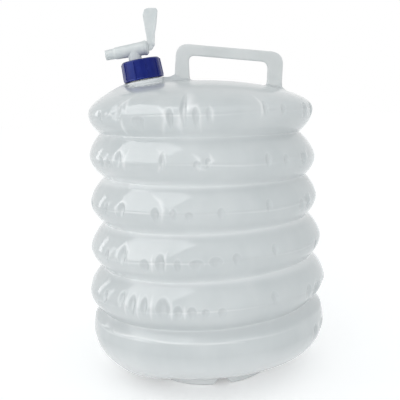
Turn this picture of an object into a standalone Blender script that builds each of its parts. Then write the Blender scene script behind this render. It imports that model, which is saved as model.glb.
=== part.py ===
"""Collapsible water carrier with a bellows body, moulded handle, screw cap and lever tap.

Metres, +Z up. The origin is under the middle of the body, on the surface it stands on.
The neck leans toward -X and the handle stands in the XZ plane.
"""

import math

import bmesh
import bpy
from mathutils import Vector

# Bellows body
BODY_RADIUS = 0.137
CREST_SHARES = (0.988, 1.0, 0.974, 0.952, 0.941, 0.930)
LOWEST_CREST_Z = 0.058
FOLD_PITCH = 0.0486
VALLEY_DEPTH = 0.0145
WALL = 0.0010
BAND_HEIGHT = 0.0080
DOME_HEIGHT = 0.0345

# Foot under the bowl
FOOT_HEIGHT = 0.0075
FOOT_OUTER_RADIUS = 0.0665
FOOT_INNER_RADIUS = 0.030
FOOT_SLOPE = 0.0050
FOOT_PADS = 6
FOOT_TURN_STEPS = 1
PUSH_UP = 0.0040

# Neck on the left of the dome, square to it
NECK_FOOT_X = -0.0609
NECK_STAND = 0.0075
NECK_RADIUS = 0.0180
NECK_WALL = 0.0028
NECK_HEIGHT = 0.0180
SPIGOT_LENGTH = 0.0020
COLLAR_INSET = 0.0002
COLLAR_DROP = 0.0012
COLLAR_BAND = 0.0038
COLLAR_GROOVE = 0.0010
COLLAR_FLARE = 0.0014

# Thread shared by the neck and the cap
THREAD_PITCH = 0.0050
THREAD_DEPTH = 0.0020
THREAD_ROOT = 0.0024
THREAD_CREST = 0.0010
THREAD_START = 0.0045
THREAD_RUN_OUT_SHARE = 0.125
NECK_TURNS = 1.5
CAP_TURNS = 1.25

# Screw cap
CAP_WALL = 0.0021
CAP_FLARE = 0.0005
CAP_FLARE_HEIGHT = 0.0020
CAP_TAPER = 0.0008
CAP_CHAMFER = 0.0018
GRIP_RIBS = 10
GRIP_RIB_WIDTH = 0.0012
GRIP_RIB_DEPTH = 0.0005

# Seal washer between the rim of the neck and the cap
SEAL_THICKNESS = 0.0018

# Tap
STEM_OFFSET = 0.0052
STEM_RADIUS = 0.0074
STEM_SHOULDER = 0.0011
STEM_WALL = 0.0027
STEM_RISE = 0.0042
BARREL_RADIUS = 0.0078
BARREL_TAPER = 0.0011
BARREL_END = 0.0130
BARREL_STEP = 0.0203
BARREL_WALL = 0.0026
STEP_DEPTH = 0.0007
STEP_RUN = 0.0015
SPOUT_REACH = 0.0321
SPOUT_TAPER = 0.0004
SPOUT_WALL = 0.0014
PLUG_SEAT = 0.0090
PLUG_WALL = 0.0015
PORT_STEP = 0.0004

# Tap lever
HUB_STEP = 0.0008
HUB_LENGTH = 0.0040
HUB_CROWN_SHARES = (0.7, 0.6)
LEVER_THICKNESS = 0.0042
LEVER_RIB_THICKNESS = 0.0066
LEVER_RIB_WIDTH = 0.0026
LEVER_HEIGHT = 0.0421
LEVER_REACH = 0.0219
LEVER_INNER_SHARES = ((0.183, 0.25), (0.192, 0.55), (0.205, 0.85), (0.329, 0.974), (0.525, 1.0))
LEVER_OUTER_SHARES = ((0.927, 0.962), (1.0, 0.903), (0.826, 0.582), (0.626, 0.297), (0.516, 0.024))
LEVER_ROOT_SHARES = ((0.329, -0.083), (0.078, -0.100))

# Carry handle
HANDLE_THICKNESS = 0.0052
HANDLE_FROM_NECK = 0.0347
HANDLE_LENGTH = 0.1220
HANDLE_LEFT_RISE = 0.0410
HANDLE_RIGHT_RISE = 0.0265
HANDLE_BAND = 0.0136
HANDLE_LEFT_LEG = 0.0140
HANDLE_RIGHT_LEG = 0.0160
HANDLE_OUTER_CORNER = 0.0120
HANDLE_INNER_CORNER = 0.0060
HANDLE_ROUNDING = 0.0012
HANDLE_WEB_RISE = 0.0039
HANDLE_WEB_CORNER = 0.0030
HANDLE_FOOT_STEP = 0.0045

# Fits and overlaps
GAP = 0.0003
OVERRUN = 0.0020
BITE = 0.0003
MERGE = 0.00001

# Smoothness
ROUND_STEPS = 36
SMALL_STEPS = 24
ARC_POINTS = 3
BOWL_POINTS = 8
CORNER_POINTS = 5
SEARCH_ROUNDS = 20

# Sizes that follow from the ones above
FOLDS = len(CREST_SHARES) - 1
NECK_BORE_RADIUS = NECK_RADIUS - NECK_WALL
THREAD_MAJOR = NECK_RADIUS + THREAD_DEPTH
CAP_INNER_RADIUS = THREAD_MAJOR + GAP
CAP_OUTER_RADIUS = CAP_INNER_RADIUS + CAP_WALL
CAP_CEILING = NECK_HEIGHT + SEAL_THICKNESS + 2 * GAP
CAP_HEIGHT = CAP_CEILING + CAP_WALL
COLLAR_RADIUS = CAP_OUTER_RADIUS - COLLAR_INSET
COLLAR_FOOT = COLLAR_RADIUS + COLLAR_FLARE
STEM_WAIST_RADIUS = STEM_RADIUS - STEM_SHOULDER
STEM_BORE_RADIUS = STEM_WAIST_RADIUS - STEM_WALL
FLANGE_RADIUS = NECK_BORE_RADIUS - STEM_OFFSET - 2 * GAP
BARREL_HEIGHT = CAP_HEIGHT + STEM_RISE + BARREL_RADIUS
BARREL_STEP_RADIUS = BARREL_RADIUS - BARREL_TAPER
SPOUT_RADIUS = BARREL_STEP_RADIUS - STEP_DEPTH
SPOUT_END_RADIUS = SPOUT_RADIUS - SPOUT_TAPER
SPOUT_BORE_RADIUS = SPOUT_END_RADIUS - SPOUT_WALL
PLUG_BORE_RADIUS = BARREL_RADIUS - BARREL_WALL
PLUG_RADIUS = PLUG_BORE_RADIUS - GAP
PLUG_WAY_RADIUS = PLUG_RADIUS - PLUG_WALL
PORT_RADIUS = PLUG_WAY_RADIUS - PORT_STEP
HUB_RADIUS = BARREL_RADIUS - HUB_STEP
HUB_START = BARREL_END + GAP
HANDLE_LEFT = NECK_FOOT_X + HANDLE_FROM_NECK
HANDLE_RIGHT = HANDLE_LEFT + HANDLE_LENGTH


def clear_scene():
    for item in list(bpy.data.objects):
        bpy.data.objects.remove(item, do_unlink=True)


def new_collection(name):
    group = bpy.data.collections.new(name)
    bpy.context.scene.collection.children.link(group)
    return group


def new_material(name, color, roughness):
    material = bpy.data.materials.new(name)
    material.use_nodes = True
    shader = material.node_tree.nodes["Principled BSDF"]
    shader.inputs["Base Color"].default_value = (*color, 1.0)
    shader.inputs["Roughness"].default_value = roughness
    shader.inputs["Metallic"].default_value = 0.0
    return material


clear_scene()
PARTS = new_collection("water_carrier")
CUTTERS = new_collection("cutters")
BOTTLE_PLASTIC = new_material("bottle_plastic", (0.66, 0.70, 0.71), 0.30)
CAP_PLASTIC = new_material("cap_plastic", (0.015, 0.022, 0.18), 0.32)
TAP_PLASTIC = new_material("tap_plastic", (0.68, 0.72, 0.72), 0.38)
SEAL_RUBBER = new_material("seal_rubber", (0.30, 0.31, 0.32), 0.75)


def add_object(name, mesh, group, material=None, parent=None):
    item = bpy.data.objects.new(name, mesh)
    group.objects.link(item)
    item.parent = parent
    if material:
        mesh.materials.append(material)
    if group is CUTTERS:
        item.hide_render = True
        item.display_type = "WIRE"
    return item


def add_empty(name, location, turn, parent=None):
    item = bpy.data.objects.new(name, None)
    PARTS.objects.link(item)
    item.parent = parent
    item.location = location
    item.rotation_euler = turn
    return item


def outline_mesh(name, points, closed):
    """An edge outline at +X that a Screw modifier turns about Z."""
    mesh = bpy.data.meshes.new(name)
    edges = [(i, i + 1) for i in range(len(points) - 1)]
    if closed:
        edges.append((len(points) - 1, 0))
    mesh.from_pydata([(r, 0.0, z) for r, z in points], edges, [])
    return mesh


def turn(name, points, group, material=None, parent=None, closed=False, steps=ROUND_STEPS):
    """A turned shape. The outline runs down its outer side, top to bottom."""
    item = add_object(name, outline_mesh(name, points, closed), group, material, parent)
    screw = item.modifiers.new("turn", "SCREW")
    screw.steps = steps
    screw.render_steps = steps
    screw.use_merge_vertices = True
    screw.merge_threshold = MERGE
    screw.use_smooth_shade = True
    return item


def thicken(item, thickness):
    wall = item.modifiers.new("wall", "SOLIDIFY")
    wall.thickness = thickness
    wall.offset = -1.0
    wall.use_even_offset = True


def boolean(item, other, operation):
    change = item.modifiers.new(other.name, "BOOLEAN")
    change.operation = operation
    change.object = other
    change.solver = "EXACT"


def bake(item):
    """Replace an object's modifiers or curve with the mesh that they give."""
    bpy.context.view_layer.update()
    shape = item.evaluated_get(bpy.context.evaluated_depsgraph_get())
    mesh = bpy.data.meshes.new_from_object(shape)
    name, group, parent, place = item.name, item.users_collection[0], item.parent, item.matrix_local.copy()
    bpy.data.objects.remove(item, do_unlink=True)
    solid = add_object(name, mesh, group, None, parent)
    solid.matrix_local = place
    return solid


def smooth(item, angle=math.radians(35)):
    item.data.shade_smooth()
    item.data.set_sharp_from_angle(angle=angle)


def cylinder(name, radius, low, high, parent, group=None, steps=SMALL_STEPS):
    return turn(name, [(0.0, high), (radius, high), (radius, low), (0.0, low)],
                group or CUTTERS, parent=parent, steps=steps)


# Bellows body

def crest_radius(index):
    return BODY_RADIUS * CREST_SHARES[index]


def crest_z(index):
    return LOWEST_CREST_Z + index * FOLD_PITCH


def valley_radius(index):
    """Radius of the sharp valley above crest number index."""
    return (crest_radius(index) + crest_radius(index + 1)) / 2 - VALLEY_DEPTH


def lobe_arc(crest, valley, side, from_height, to_height, count):
    """Points of a round lobe from one height to another, both measured from its crest plane."""
    depth = crest_radius(crest) - valley
    arc = ((FOLD_PITCH / 2) ** 2 + depth ** 2) / (2 * depth)
    start = math.asin(from_height / arc)
    end = math.asin(to_height / arc)
    points = []
    for i in range(count + 1):
        angle = start + (end - start) * i / count
        radius = crest_radius(crest) - arc * (1 - math.cos(angle))
        points.append((radius, crest_z(crest) + side * arc * math.sin(angle)))
    return points


def fold_wall(index):
    """Thin wall from crest band number index up to the next band, with its valley."""
    valley = valley_radius(index)
    band_edge = BAND_HEIGHT / 2 + GAP
    upper = lobe_arc(index + 1, valley, -1, band_edge, FOLD_PITCH / 2, ARC_POINTS)
    lower = lobe_arc(index, valley, 1, FOLD_PITCH / 2, band_edge, ARC_POINTS)
    item = turn(f"fold_wall_{index + 1}", upper + lower[1:], PARTS, BOTTLE_PLASTIC)
    thicken(item, WALL)


def crest_ring(index):
    """Stiff ring along a crest, between two fold walls."""
    above = lobe_arc(index, valley_radius(index), 1, BAND_HEIGHT / 2, 0.0, 1)
    below = lobe_arc(index, valley_radius(index - 1), -1, 0.0, BAND_HEIGHT / 2, 1)
    item = turn(f"crest_ring_{index + 1}", above + below[1:], PARTS, BOTTLE_PLASTIC)
    thicken(item, WALL)


def bowl_outline():
    """Lowest crest, bowl and foot, from the band's top edge to the middle of the underside."""
    points = lobe_arc(0, valley_radius(0), 1, BAND_HEIGHT / 2, 0.0, 1)
    reach = crest_radius(0) - FOOT_OUTER_RADIUS
    drop = LOWEST_CREST_Z - FOOT_HEIGHT
    for i in range(1, BOWL_POINTS + 1):
        angle = math.radians(90) * i / BOWL_POINTS
        points.append((FOOT_OUTER_RADIUS + reach * math.cos(angle), LOWEST_CREST_Z - drop * math.sin(angle)))
    points.append((FOOT_OUTER_RADIUS - FOOT_SLOPE, FOOT_HEIGHT))
    points.append((FOOT_INNER_RADIUS + FOOT_SLOPE, FOOT_HEIGHT))
    points.append((FOOT_INNER_RADIUS, FOOT_HEIGHT))
    points.append((0.0, FOOT_HEIGHT + PUSH_UP))
    return points


def lower_foot_pads(mesh):
    """Press the foot's ring down to the ground, except along the notches between its pads."""
    notch_every = ROUND_STEPS // FOOT_PADS
    front = 3 * ROUND_STEPS // 4
    for vertex in mesh.vertices:
        radius = math.hypot(vertex.co.x, vertex.co.y)
        step = round(math.atan2(vertex.co.y, vertex.co.x) / math.tau * ROUND_STEPS)
        on_notch = (step - front - FOOT_TURN_STEPS) % notch_every == 0
        in_ring = FOOT_INNER_RADIUS + FOOT_SLOPE / 2 < radius < FOOT_OUTER_RADIUS - FOOT_SLOPE / 2
        if in_ring and not on_notch:
            vertex.co.z = 0.0


def base_shell():
    item = bake(turn("base_shell", bowl_outline(), PARTS, BOTTLE_PLASTIC))
    lower_foot_pads(item.data)
    smooth(item)
    thicken(item, WALL)


def dome_z(radius):
    """Height of the dome's outside over the ground at a distance from the middle."""
    share = 1 - (radius / crest_radius(FOLDS)) ** 2
    return crest_z(FOLDS) + DOME_HEIGHT * math.sqrt(max(share, 0.0))


def dome_outline():
    points = []
    for i in range(BOWL_POINTS + 1):
        angle = math.radians(90) * i / BOWL_POINTS
        radius = crest_radius(FOLDS) * math.sin(angle)
        points.append((radius, crest_z(FOLDS) + DOME_HEIGHT * math.cos(angle)))
    below = lobe_arc(FOLDS, valley_radius(FOLDS - 1), -1, 0.0, BAND_HEIGHT / 2, 1)
    return points + below[1:]


def neck_tilt():
    """Lean of the neck's axis, which stands square to the dome at the neck's foot."""
    reach = crest_radius(FOLDS)
    share = NECK_FOOT_X / reach
    return math.atan(-DOME_HEIGHT * share / (reach * math.sqrt(1 - share ** 2)))


def neck_point(across, along):
    """World X and Z of a point in the XZ plane, across and along the neck's axis from the cap's rim."""
    tilt = neck_tilt()
    rise = NECK_STAND + along
    x = NECK_FOOT_X + across * math.cos(tilt) - rise * math.sin(tilt)
    z = dome_z(NECK_FOOT_X) + across * math.sin(tilt) + rise * math.cos(tilt)
    return x, z


def dome_along(across, beside):
    """Height of the dome along the neck's axis, over a point beside that axis."""
    along = -NECK_STAND
    for _ in range(SEARCH_ROUNDS):
        x, z = neck_point(across, along)
        along -= (z - dome_z(math.hypot(x, beside))) / math.cos(neck_tilt())
    return along


def collar_seat():
    """Lowest place along the neck's axis where the collar's foot still clears the dome."""
    heights = []
    for i in range(SMALL_STEPS):
        angle = math.tau * i / SMALL_STEPS
        heights.append(dome_along(COLLAR_FOOT * math.cos(angle), COLLAR_FOOT * math.sin(angle)))
    heights.append(dome_along(0.0, 0.0))
    return max(heights) + GAP


def top_shell(neck_axis):
    item = turn("top_shell", dome_outline(), PARTS, BOTTLE_PLASTIC)
    thicken(item, WALL)
    hole = cylinder("neck_hole", NECK_RADIUS + GAP, -NECK_STAND - NECK_HEIGHT, 0.0, neck_axis, steps=ROUND_STEPS)
    boolean(item, hole, "DIFFERENCE")


# Thread, neck and cap

def thread_ridge(name, wall_radius, side, start, turns, parent, phase=0.0):
    """A helical ridge that tapers out at both ends. side is 1 outward and -1 inward."""
    inside = wall_radius - side * BITE
    crest = wall_radius + side * THREAD_DEPTH
    section = [(inside, THREAD_ROOT / 2), (crest, THREAD_CREST / 2), (crest, -THREAD_CREST / 2),
               (inside, -THREAD_ROOT / 2)]
    steps = round(turns * ROUND_STEPS)
    mesh = bpy.data.meshes.new(name)
    shape = bmesh.new()
    corners = [shape.verts.new((r, 0.0, start + z)) for r, z in section]
    face = shape.faces.new(corners)
    bmesh.ops.spin(shape, geom=[face] + list(face.edges) + corners, cent=(0.0, 0.0, 0.0),
                   axis=(0.0, 0.0, 1.0), dvec=(0.0, 0.0, turns * THREAD_PITCH / steps),
                   angle=turns * math.tau, steps=steps)
    end = start + turns * THREAD_PITCH
    run_out = THREAD_PITCH * THREAD_RUN_OUT_SHARE
    for vertex in shape.verts:
        radius = math.hypot(vertex.co.x, vertex.co.y)
        turned = (math.atan2(vertex.co.y, vertex.co.x) / math.tau) % 1.0
        level = start + THREAD_PITCH * (turned + round((vertex.co.z - start) / THREAD_PITCH - turned))
        nearest = min(level - start, end - level)
        if side * (radius - inside) > BITE and nearest < run_out:
            share = max(nearest / run_out, 0.0)
            wanted = inside + side * (BITE / 2 + (THREAD_DEPTH + BITE / 2) * share)
            vertex.co.x *= wanted / radius
            vertex.co.y *= wanted / radius
    bmesh.ops.recalc_face_normals(shape, faces=shape.faces)
    shape.to_mesh(mesh)
    shape.free()
    item = add_object(name, mesh, CUTTERS, None, parent)
    item.rotation_euler = (0.0, 0.0, phase)
    return item


def threaded_neck(neck_axis):
    seat = collar_seat()
    groove = COLLAR_RADIUS - COLLAR_GROOVE
    band_low = -COLLAR_DROP - COLLAR_BAND
    outline = [(NECK_BORE_RADIUS, NECK_HEIGHT), (NECK_RADIUS, NECK_HEIGHT), (NECK_RADIUS, -COLLAR_DROP),
               (COLLAR_RADIUS, -COLLAR_DROP), (COLLAR_RADIUS, band_low), (groove, band_low - COLLAR_GROOVE / 2),
               (groove, band_low - COLLAR_GROOVE), (COLLAR_FOOT, seat), (NECK_RADIUS, seat),
               (NECK_RADIUS, seat - SPIGOT_LENGTH), (NECK_BORE_RADIUS, seat - SPIGOT_LENGTH)]
    item = turn("threaded_neck", outline, PARTS, BOTTLE_PLASTIC, neck_axis, closed=True)
    ridge = thread_ridge("neck_ridge", NECK_RADIUS, 1, THREAD_START, NECK_TURNS, neck_axis)
    boolean(item, ridge, "UNION")


def seal_washer(neck_axis):
    low = NECK_HEIGHT + GAP
    high = low + SEAL_THICKNESS
    inner = NECK_BORE_RADIUS
    outer = CAP_INNER_RADIUS - GAP
    turn("seal_washer", [(inner, high), (outer, high), (outer, low), (inner, low)], PARTS, SEAL_RUBBER,
         neck_axis, closed=True)


def grip_rib(index, parent):
    """One upright rib outside the cap, set a little into its wall."""
    angle = math.tau * index / GRIP_RIBS
    low = CAP_FLARE_HEIGHT
    high = CAP_HEIGHT - 2 * CAP_CHAMFER
    mesh = bpy.data.meshes.new(f"grip_rib_{index}")
    shape = bmesh.new()
    bmesh.ops.create_cube(shape, size=1.0)
    shape.to_mesh(mesh)
    shape.free()
    item = add_object(f"grip_rib_{index}", mesh, CUTTERS, None, parent)
    lean = math.atan2(CAP_TAPER, CAP_HEIGHT)
    middle = CAP_OUTER_RADIUS + GRIP_RIB_DEPTH / 2 - CAP_TAPER / 2
    item.location = (middle * math.cos(angle), middle * math.sin(angle), (low + high) / 2)
    item.rotation_euler = (0.0, -lean, angle)
    item.scale = (GRIP_RIB_DEPTH * 2, GRIP_RIB_WIDTH, high - low)
    return item


def screw_cap(neck_axis):
    top = CAP_OUTER_RADIUS - CAP_TAPER
    outline = [(0.0, CAP_HEIGHT), (top - CAP_CHAMFER, CAP_HEIGHT), (top, CAP_HEIGHT - CAP_CHAMFER),
               (CAP_OUTER_RADIUS, CAP_FLARE_HEIGHT), (CAP_OUTER_RADIUS + CAP_FLARE, 0.0),
               (CAP_INNER_RADIUS, 0.0), (CAP_INNER_RADIUS, CAP_CEILING), (0.0, CAP_CEILING)]
    item = turn("screw_cap", outline, PARTS, CAP_PLASTIC, neck_axis)
    hole = cylinder("stem_hole", STEM_WAIST_RADIUS + GAP, NECK_HEIGHT, CAP_HEIGHT + OVERRUN, neck_axis)
    hole.location = (-STEM_OFFSET, 0.0, 0.0)
    boolean(item, hole, "DIFFERENCE")
    ridge = thread_ridge("cap_ridge", CAP_INNER_RADIUS, -1, THREAD_START - THREAD_PITCH / 2 + GAP, CAP_TURNS,
                         neck_axis)
    boolean(item, ridge, "UNION")
    for index in range(GRIP_RIBS):
        boolean(item, grip_rib(index, neck_axis), "UNION")


# Tap

def tap_body(tap_axis, barrel_axis):
    barrel = [(0.0, BARREL_END), (BARREL_RADIUS, BARREL_END), (BARREL_STEP_RADIUS, -BARREL_STEP),
              (SPOUT_RADIUS, -BARREL_STEP - STEP_RUN), (SPOUT_END_RADIUS, -SPOUT_REACH), (0.0, -SPOUT_REACH)]
    item = turn("tap_body", barrel, PARTS, TAP_PLASTIC, barrel_axis, steps=SMALL_STEPS)
    low = NECK_HEIGHT + GAP
    stem = turn("tap_stem", [(0.0, BARREL_HEIGHT), (STEM_RADIUS, BARREL_HEIGHT), (STEM_RADIUS, CAP_HEIGHT + GAP),
                             (STEM_WAIST_RADIUS, CAP_HEIGHT + GAP), (STEM_WAIST_RADIUS, CAP_CEILING - GAP),
                             (FLANGE_RADIUS, CAP_CEILING - GAP), (FLANGE_RADIUS, low), (0.0, low)],
                CUTTERS, parent=tap_axis, steps=SMALL_STEPS)
    boolean(item, stem, "UNION")
    bore = cylinder("plug_bore", PLUG_BORE_RADIUS, -PLUG_SEAT, BARREL_END + OVERRUN, barrel_axis)
    spout = cylinder("spout_bore", SPOUT_BORE_RADIUS, -SPOUT_REACH - OVERRUN, 0.0, barrel_axis)
    riser = cylinder("stem_bore", STEM_BORE_RADIUS, low - OVERRUN, BARREL_HEIGHT, tap_axis)
    for cutter in (bore, spout, riser):
        boolean(item, cutter, "DIFFERENCE")


def lever_outline():
    """Side outline of the paddle, as (distance from the stem's axis, height over the barrel's axis)."""
    shares = LEVER_INNER_SHARES + LEVER_OUTER_SHARES + LEVER_ROOT_SHARES
    return [(HUB_START + LEVER_REACH * across, LEVER_HEIGHT * up) for across, up in shares]


def plate(name, points, thickness, group, material=None, parent=None):
    """A flat plate in the XZ plane from its outline, as a closed mesh."""
    curve = bpy.data.curves.new(name, "CURVE")
    curve.dimensions = "2D"
    curve.fill_mode = "BOTH"
    curve.extrude = thickness / 2
    spline = curve.splines.new("POLY")
    spline.points.add(len(points) - 1)
    for point, (x, z) in zip(spline.points, points):
        point.co = (x, z, 0.0, 1.0)
    spline.use_cyclic_u = True
    item = bpy.data.objects.new(name, curve)
    group.objects.link(item)
    item.rotation_euler = (math.radians(90), 0.0, 0.0)
    bpy.context.view_layer.update()
    shape = item.evaluated_get(bpy.context.evaluated_depsgraph_get())
    mesh = bpy.data.meshes.new_from_object(shape)
    mesh.transform(item.matrix_world)
    bpy.data.objects.remove(item, do_unlink=True)
    faces = bmesh.new()
    faces.from_mesh(mesh)
    bmesh.ops.remove_doubles(faces, verts=faces.verts, dist=MERGE)
    bmesh.ops.dissolve_limit(faces, angle_limit=math.radians(1), verts=faces.verts, edges=faces.edges)
    bmesh.ops.recalc_face_normals(faces, faces=faces.faces)
    faces.to_mesh(mesh)
    faces.free()
    mesh.materials.clear()
    return add_object(name, mesh, group, material, parent)


def round_edges(item, width, segments=2):
    bevel = item.modifiers.new("rounding", "BEVEL")
    bevel.width = width
    bevel.segments = segments
    bevel.limit_method = "ANGLE"
    bevel.angle_limit = math.radians(50)
    bevel.use_clamp_overlap = True


def tap_lever(tap_axis, barrel_axis):
    crown_across, crown_up = HUB_CROWN_SHARES
    hub_end = HUB_START + HUB_LENGTH
    outline = [(0.0, hub_end), (HUB_RADIUS * crown_across, hub_end), (HUB_RADIUS, HUB_START + HUB_LENGTH * crown_up),
               (HUB_RADIUS, HUB_START), (PLUG_RADIUS, HUB_START), (PLUG_RADIUS, -PLUG_SEAT + GAP),
               (0.0, -PLUG_SEAT + GAP)]
    item = turn("tap_lever", outline, PARTS, TAP_PLASTIC, barrel_axis, steps=SMALL_STEPS)
    side = lever_outline()
    paddle = plate("paddle", side, LEVER_THICKNESS, CUTTERS, parent=tap_axis)
    paddle.location = (0.0, 0.0, BARREL_HEIGHT)
    boolean(item, paddle, "UNION")
    first = len(LEVER_INNER_SHARES) + 1
    outer = side[first:-len(LEVER_ROOT_SHARES)]
    rib_side = [(across + BITE, up) for across, up in outer]
    rib_side += [(across - LEVER_RIB_WIDTH, up) for across, up in reversed(outer)]
    rib = plate("paddle_rib", rib_side, LEVER_RIB_THICKNESS, CUTTERS, parent=tap_axis)
    rib.location = (0.0, 0.0, BARREL_HEIGHT)
    boolean(item, rib, "UNION")
    way = cylinder("plug_way", PLUG_WAY_RADIUS, -PLUG_SEAT - OVERRUN, PORT_RADIUS / 2, barrel_axis)
    port = cylinder("plug_port", PORT_RADIUS, -BARREL_RADIUS, BARREL_RADIUS, tap_axis)
    port.location = (0.0, 0.0, BARREL_HEIGHT)
    port.rotation_euler = (math.radians(90), 0.0, 0.0)
    for cutter in (way, port):
        boolean(item, cutter, "DIFFERENCE")


# Carry handle

def rounded(points):
    """Outline points from (x, z, corner radius) entries, with an arc at each rounded corner."""
    result = []
    count = len(points)
    for i, (x, z, radius) in enumerate(points):
        here = Vector((x, z))
        if radius == 0.0:
            result.append((x, z))
            continue
        before = (Vector(points[i - 1][:2]) - here).normalized()
        after = (Vector(points[(i + 1) % count][:2]) - here).normalized()
        half = before.angle(after) / 2
        center = here + (before + after).normalized() * radius / math.sin(half)
        first = here + before * radius / math.tan(half) - center
        last = here + after * radius / math.tan(half) - center
        sweep = first.angle_signed(last)
        for k in range(CORNER_POINTS + 1):
            angle = -sweep * k / CORNER_POINTS
            result.append((center.x + first.x * math.cos(angle) - first.y * math.sin(angle),
                           center.y + first.x * math.sin(angle) + first.y * math.cos(angle)))
    return result


def dome_line(start, end):
    """Points just over the dome from one x to another, along the foot of the handle."""
    count = max(2, math.ceil(abs(end - start) / HANDLE_FOOT_STEP))
    points = []
    for i in range(count + 1):
        x = start + (end - start) * i / count
        points.append((x, dome_z(abs(x)) + GAP + BITE, 0.0))
    return points


def handle_outline():
    dome_top = dome_z(0.0)
    left_top = dome_top + HANDLE_LEFT_RISE
    right_top = dome_top + HANDLE_RIGHT_RISE
    web_top = dome_top + HANDLE_WEB_RISE
    slope = (left_top - right_top) / HANDLE_LENGTH
    under_left = HANDLE_LEFT + HANDLE_LEFT_LEG
    under_right = HANDLE_RIGHT - HANDLE_RIGHT_LEG
    left_under_z = left_top - HANDLE_BAND - slope * HANDLE_LEFT_LEG
    right_under_z = right_top - HANDLE_BAND + slope * HANDLE_RIGHT_LEG
    web_left = neck_point(COLLAR_FOOT + GAP, collar_seat())[0]
    corners = [(web_left, web_top, 0.0), (HANDLE_LEFT, web_top, HANDLE_WEB_CORNER),
               (HANDLE_LEFT, left_top, HANDLE_OUTER_CORNER), (HANDLE_RIGHT, right_top, HANDLE_OUTER_CORNER)]
    corners += dome_line(HANDLE_RIGHT, under_right)
    corners += [(under_right, right_under_z, HANDLE_INNER_CORNER), (under_left, left_under_z, HANDLE_INNER_CORNER)]
    corners += dome_line(under_left, web_left)
    return rounded(corners)


def carry_handle():
    item = plate("carry_handle", handle_outline(), HANDLE_THICKNESS, PARTS, BOTTLE_PLASTIC)
    round_edges(item, HANDLE_ROUNDING)


def build():
    rim_x, rim_z = neck_point(0.0, 0.0)
    neck_axis = add_empty("neck_axis", (rim_x, 0.0, rim_z), (0.0, -neck_tilt(), 0.0))
    tap_axis = add_empty("tap_axis", (-STEM_OFFSET, 0.0, 0.0), (0.0, 0.0, 0.0), neck_axis)
    barrel_axis = add_empty("barrel_axis", (0.0, 0.0, BARREL_HEIGHT), (0.0, math.radians(90), 0.0), tap_axis)
    base_shell()
    for index in range(FOLDS):
        fold_wall(index)
    for index in range(1, FOLDS):
        crest_ring(index)
    top_shell(neck_axis)
    threaded_neck(neck_axis)
    carry_handle()
    seal_washer(neck_axis)
    screw_cap(neck_axis)
    tap_body(tap_axis, barrel_axis)
    tap_lever(tap_axis, barrel_axis)


build()
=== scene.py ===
import math
from collections import namedtuple

import bmesh
import bpy
import numpy as np
from mathutils import Matrix, Vector


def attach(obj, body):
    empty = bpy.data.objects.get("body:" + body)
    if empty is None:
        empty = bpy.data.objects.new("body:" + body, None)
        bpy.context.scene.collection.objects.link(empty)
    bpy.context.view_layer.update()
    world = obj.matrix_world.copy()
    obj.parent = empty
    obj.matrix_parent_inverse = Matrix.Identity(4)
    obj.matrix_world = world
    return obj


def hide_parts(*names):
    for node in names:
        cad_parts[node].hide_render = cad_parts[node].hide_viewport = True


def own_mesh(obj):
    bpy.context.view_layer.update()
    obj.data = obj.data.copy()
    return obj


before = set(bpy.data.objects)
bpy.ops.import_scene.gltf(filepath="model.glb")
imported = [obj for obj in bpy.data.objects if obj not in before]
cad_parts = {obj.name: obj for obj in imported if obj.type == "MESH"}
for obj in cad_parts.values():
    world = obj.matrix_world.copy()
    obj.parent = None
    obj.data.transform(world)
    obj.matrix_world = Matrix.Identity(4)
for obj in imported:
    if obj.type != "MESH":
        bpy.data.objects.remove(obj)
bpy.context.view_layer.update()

# Sizes of the bottle in metres, as in the CAD part
BODY_RADIUS = 0.137
BOX_ROOM = 0.0002
LOWEST_CREST_Z = 0.058
FOLD_PITCH = 0.0486
DOME_HEIGHT = 0.0345
FOOT_HEIGHT = 0.0075
FOOT_EDGE_RADIUS = 0.0715

# The lobes, lowest first: the crest's radius, then how crest and flanks lean and bend in the photograph
Lobe = namedtuple("Lobe", "radius height lean lift upper lower crease kink")
LOBES = [Lobe(radius, LOWEST_CREST_Z + index * FOLD_PITCH, *shape) for index, (radius, *shape) in enumerate((
    (0.13536, 0.0122, 0.0, 8.3, 13.5, 0.0150, 0.70),
    (0.1370, 0.0257, 0.16, 17.9, 24.6, 0.0, 0.0),
    (0.13344, 0.0157, 0.20, 16.3, 24.6, 0.0, 0.0),
    (0.13042, -0.0061, 0.20, 16.3, 24.6, 0.0, 0.0),
    (0.12892, -0.0424, 0.20, 16.3, 24.6, 0.0, 0.0),
    (0.12741, -0.0148, 0.05, 53.5, 24.6, 0.0, 0.0)))]
LINE_EASE = 0.0009
VALLEY_EASE = 0.0014
# Painted light, a paler colour where shade falls between and under the lobes: how deep a hollow is where it is fullest,
# how far it runs below the lowest crest, and the heights and shares at which it falls off near the top
HOLLOW_DEPTH, HOLLOW_BEND = 0.0125, 2.4
PAINTED_LIGHT_RUN = 0.02
PAINTED_LIGHT_BY_HEIGHT = ((0.24, 1.0), (0.27, 0.55))
# Painted light in the hollows and on the undersides, the share of it that the lit upper flanks lose, their dullness
# with painted shade, and a gain for both
PAINTED_HOLLOW_LIGHT, PAINTED_UNDERSIDE_LIGHT, OVER_CUTS_PAINTED_LIGHT, OVER_DULLNESS_AND_SHADE, OVER_GAIN = 0.85, 0.12, 0.8, 0.7, 1.6

# Mesh steps of the bottle
ROUND_STEPS = 960
FOLD_ROWS = 72
DOME_ROWS = 84
BOWL_ROWS = 60
EDGE_SHARE = 0.001
MERGE_DISTANCE = 0.000002

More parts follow.
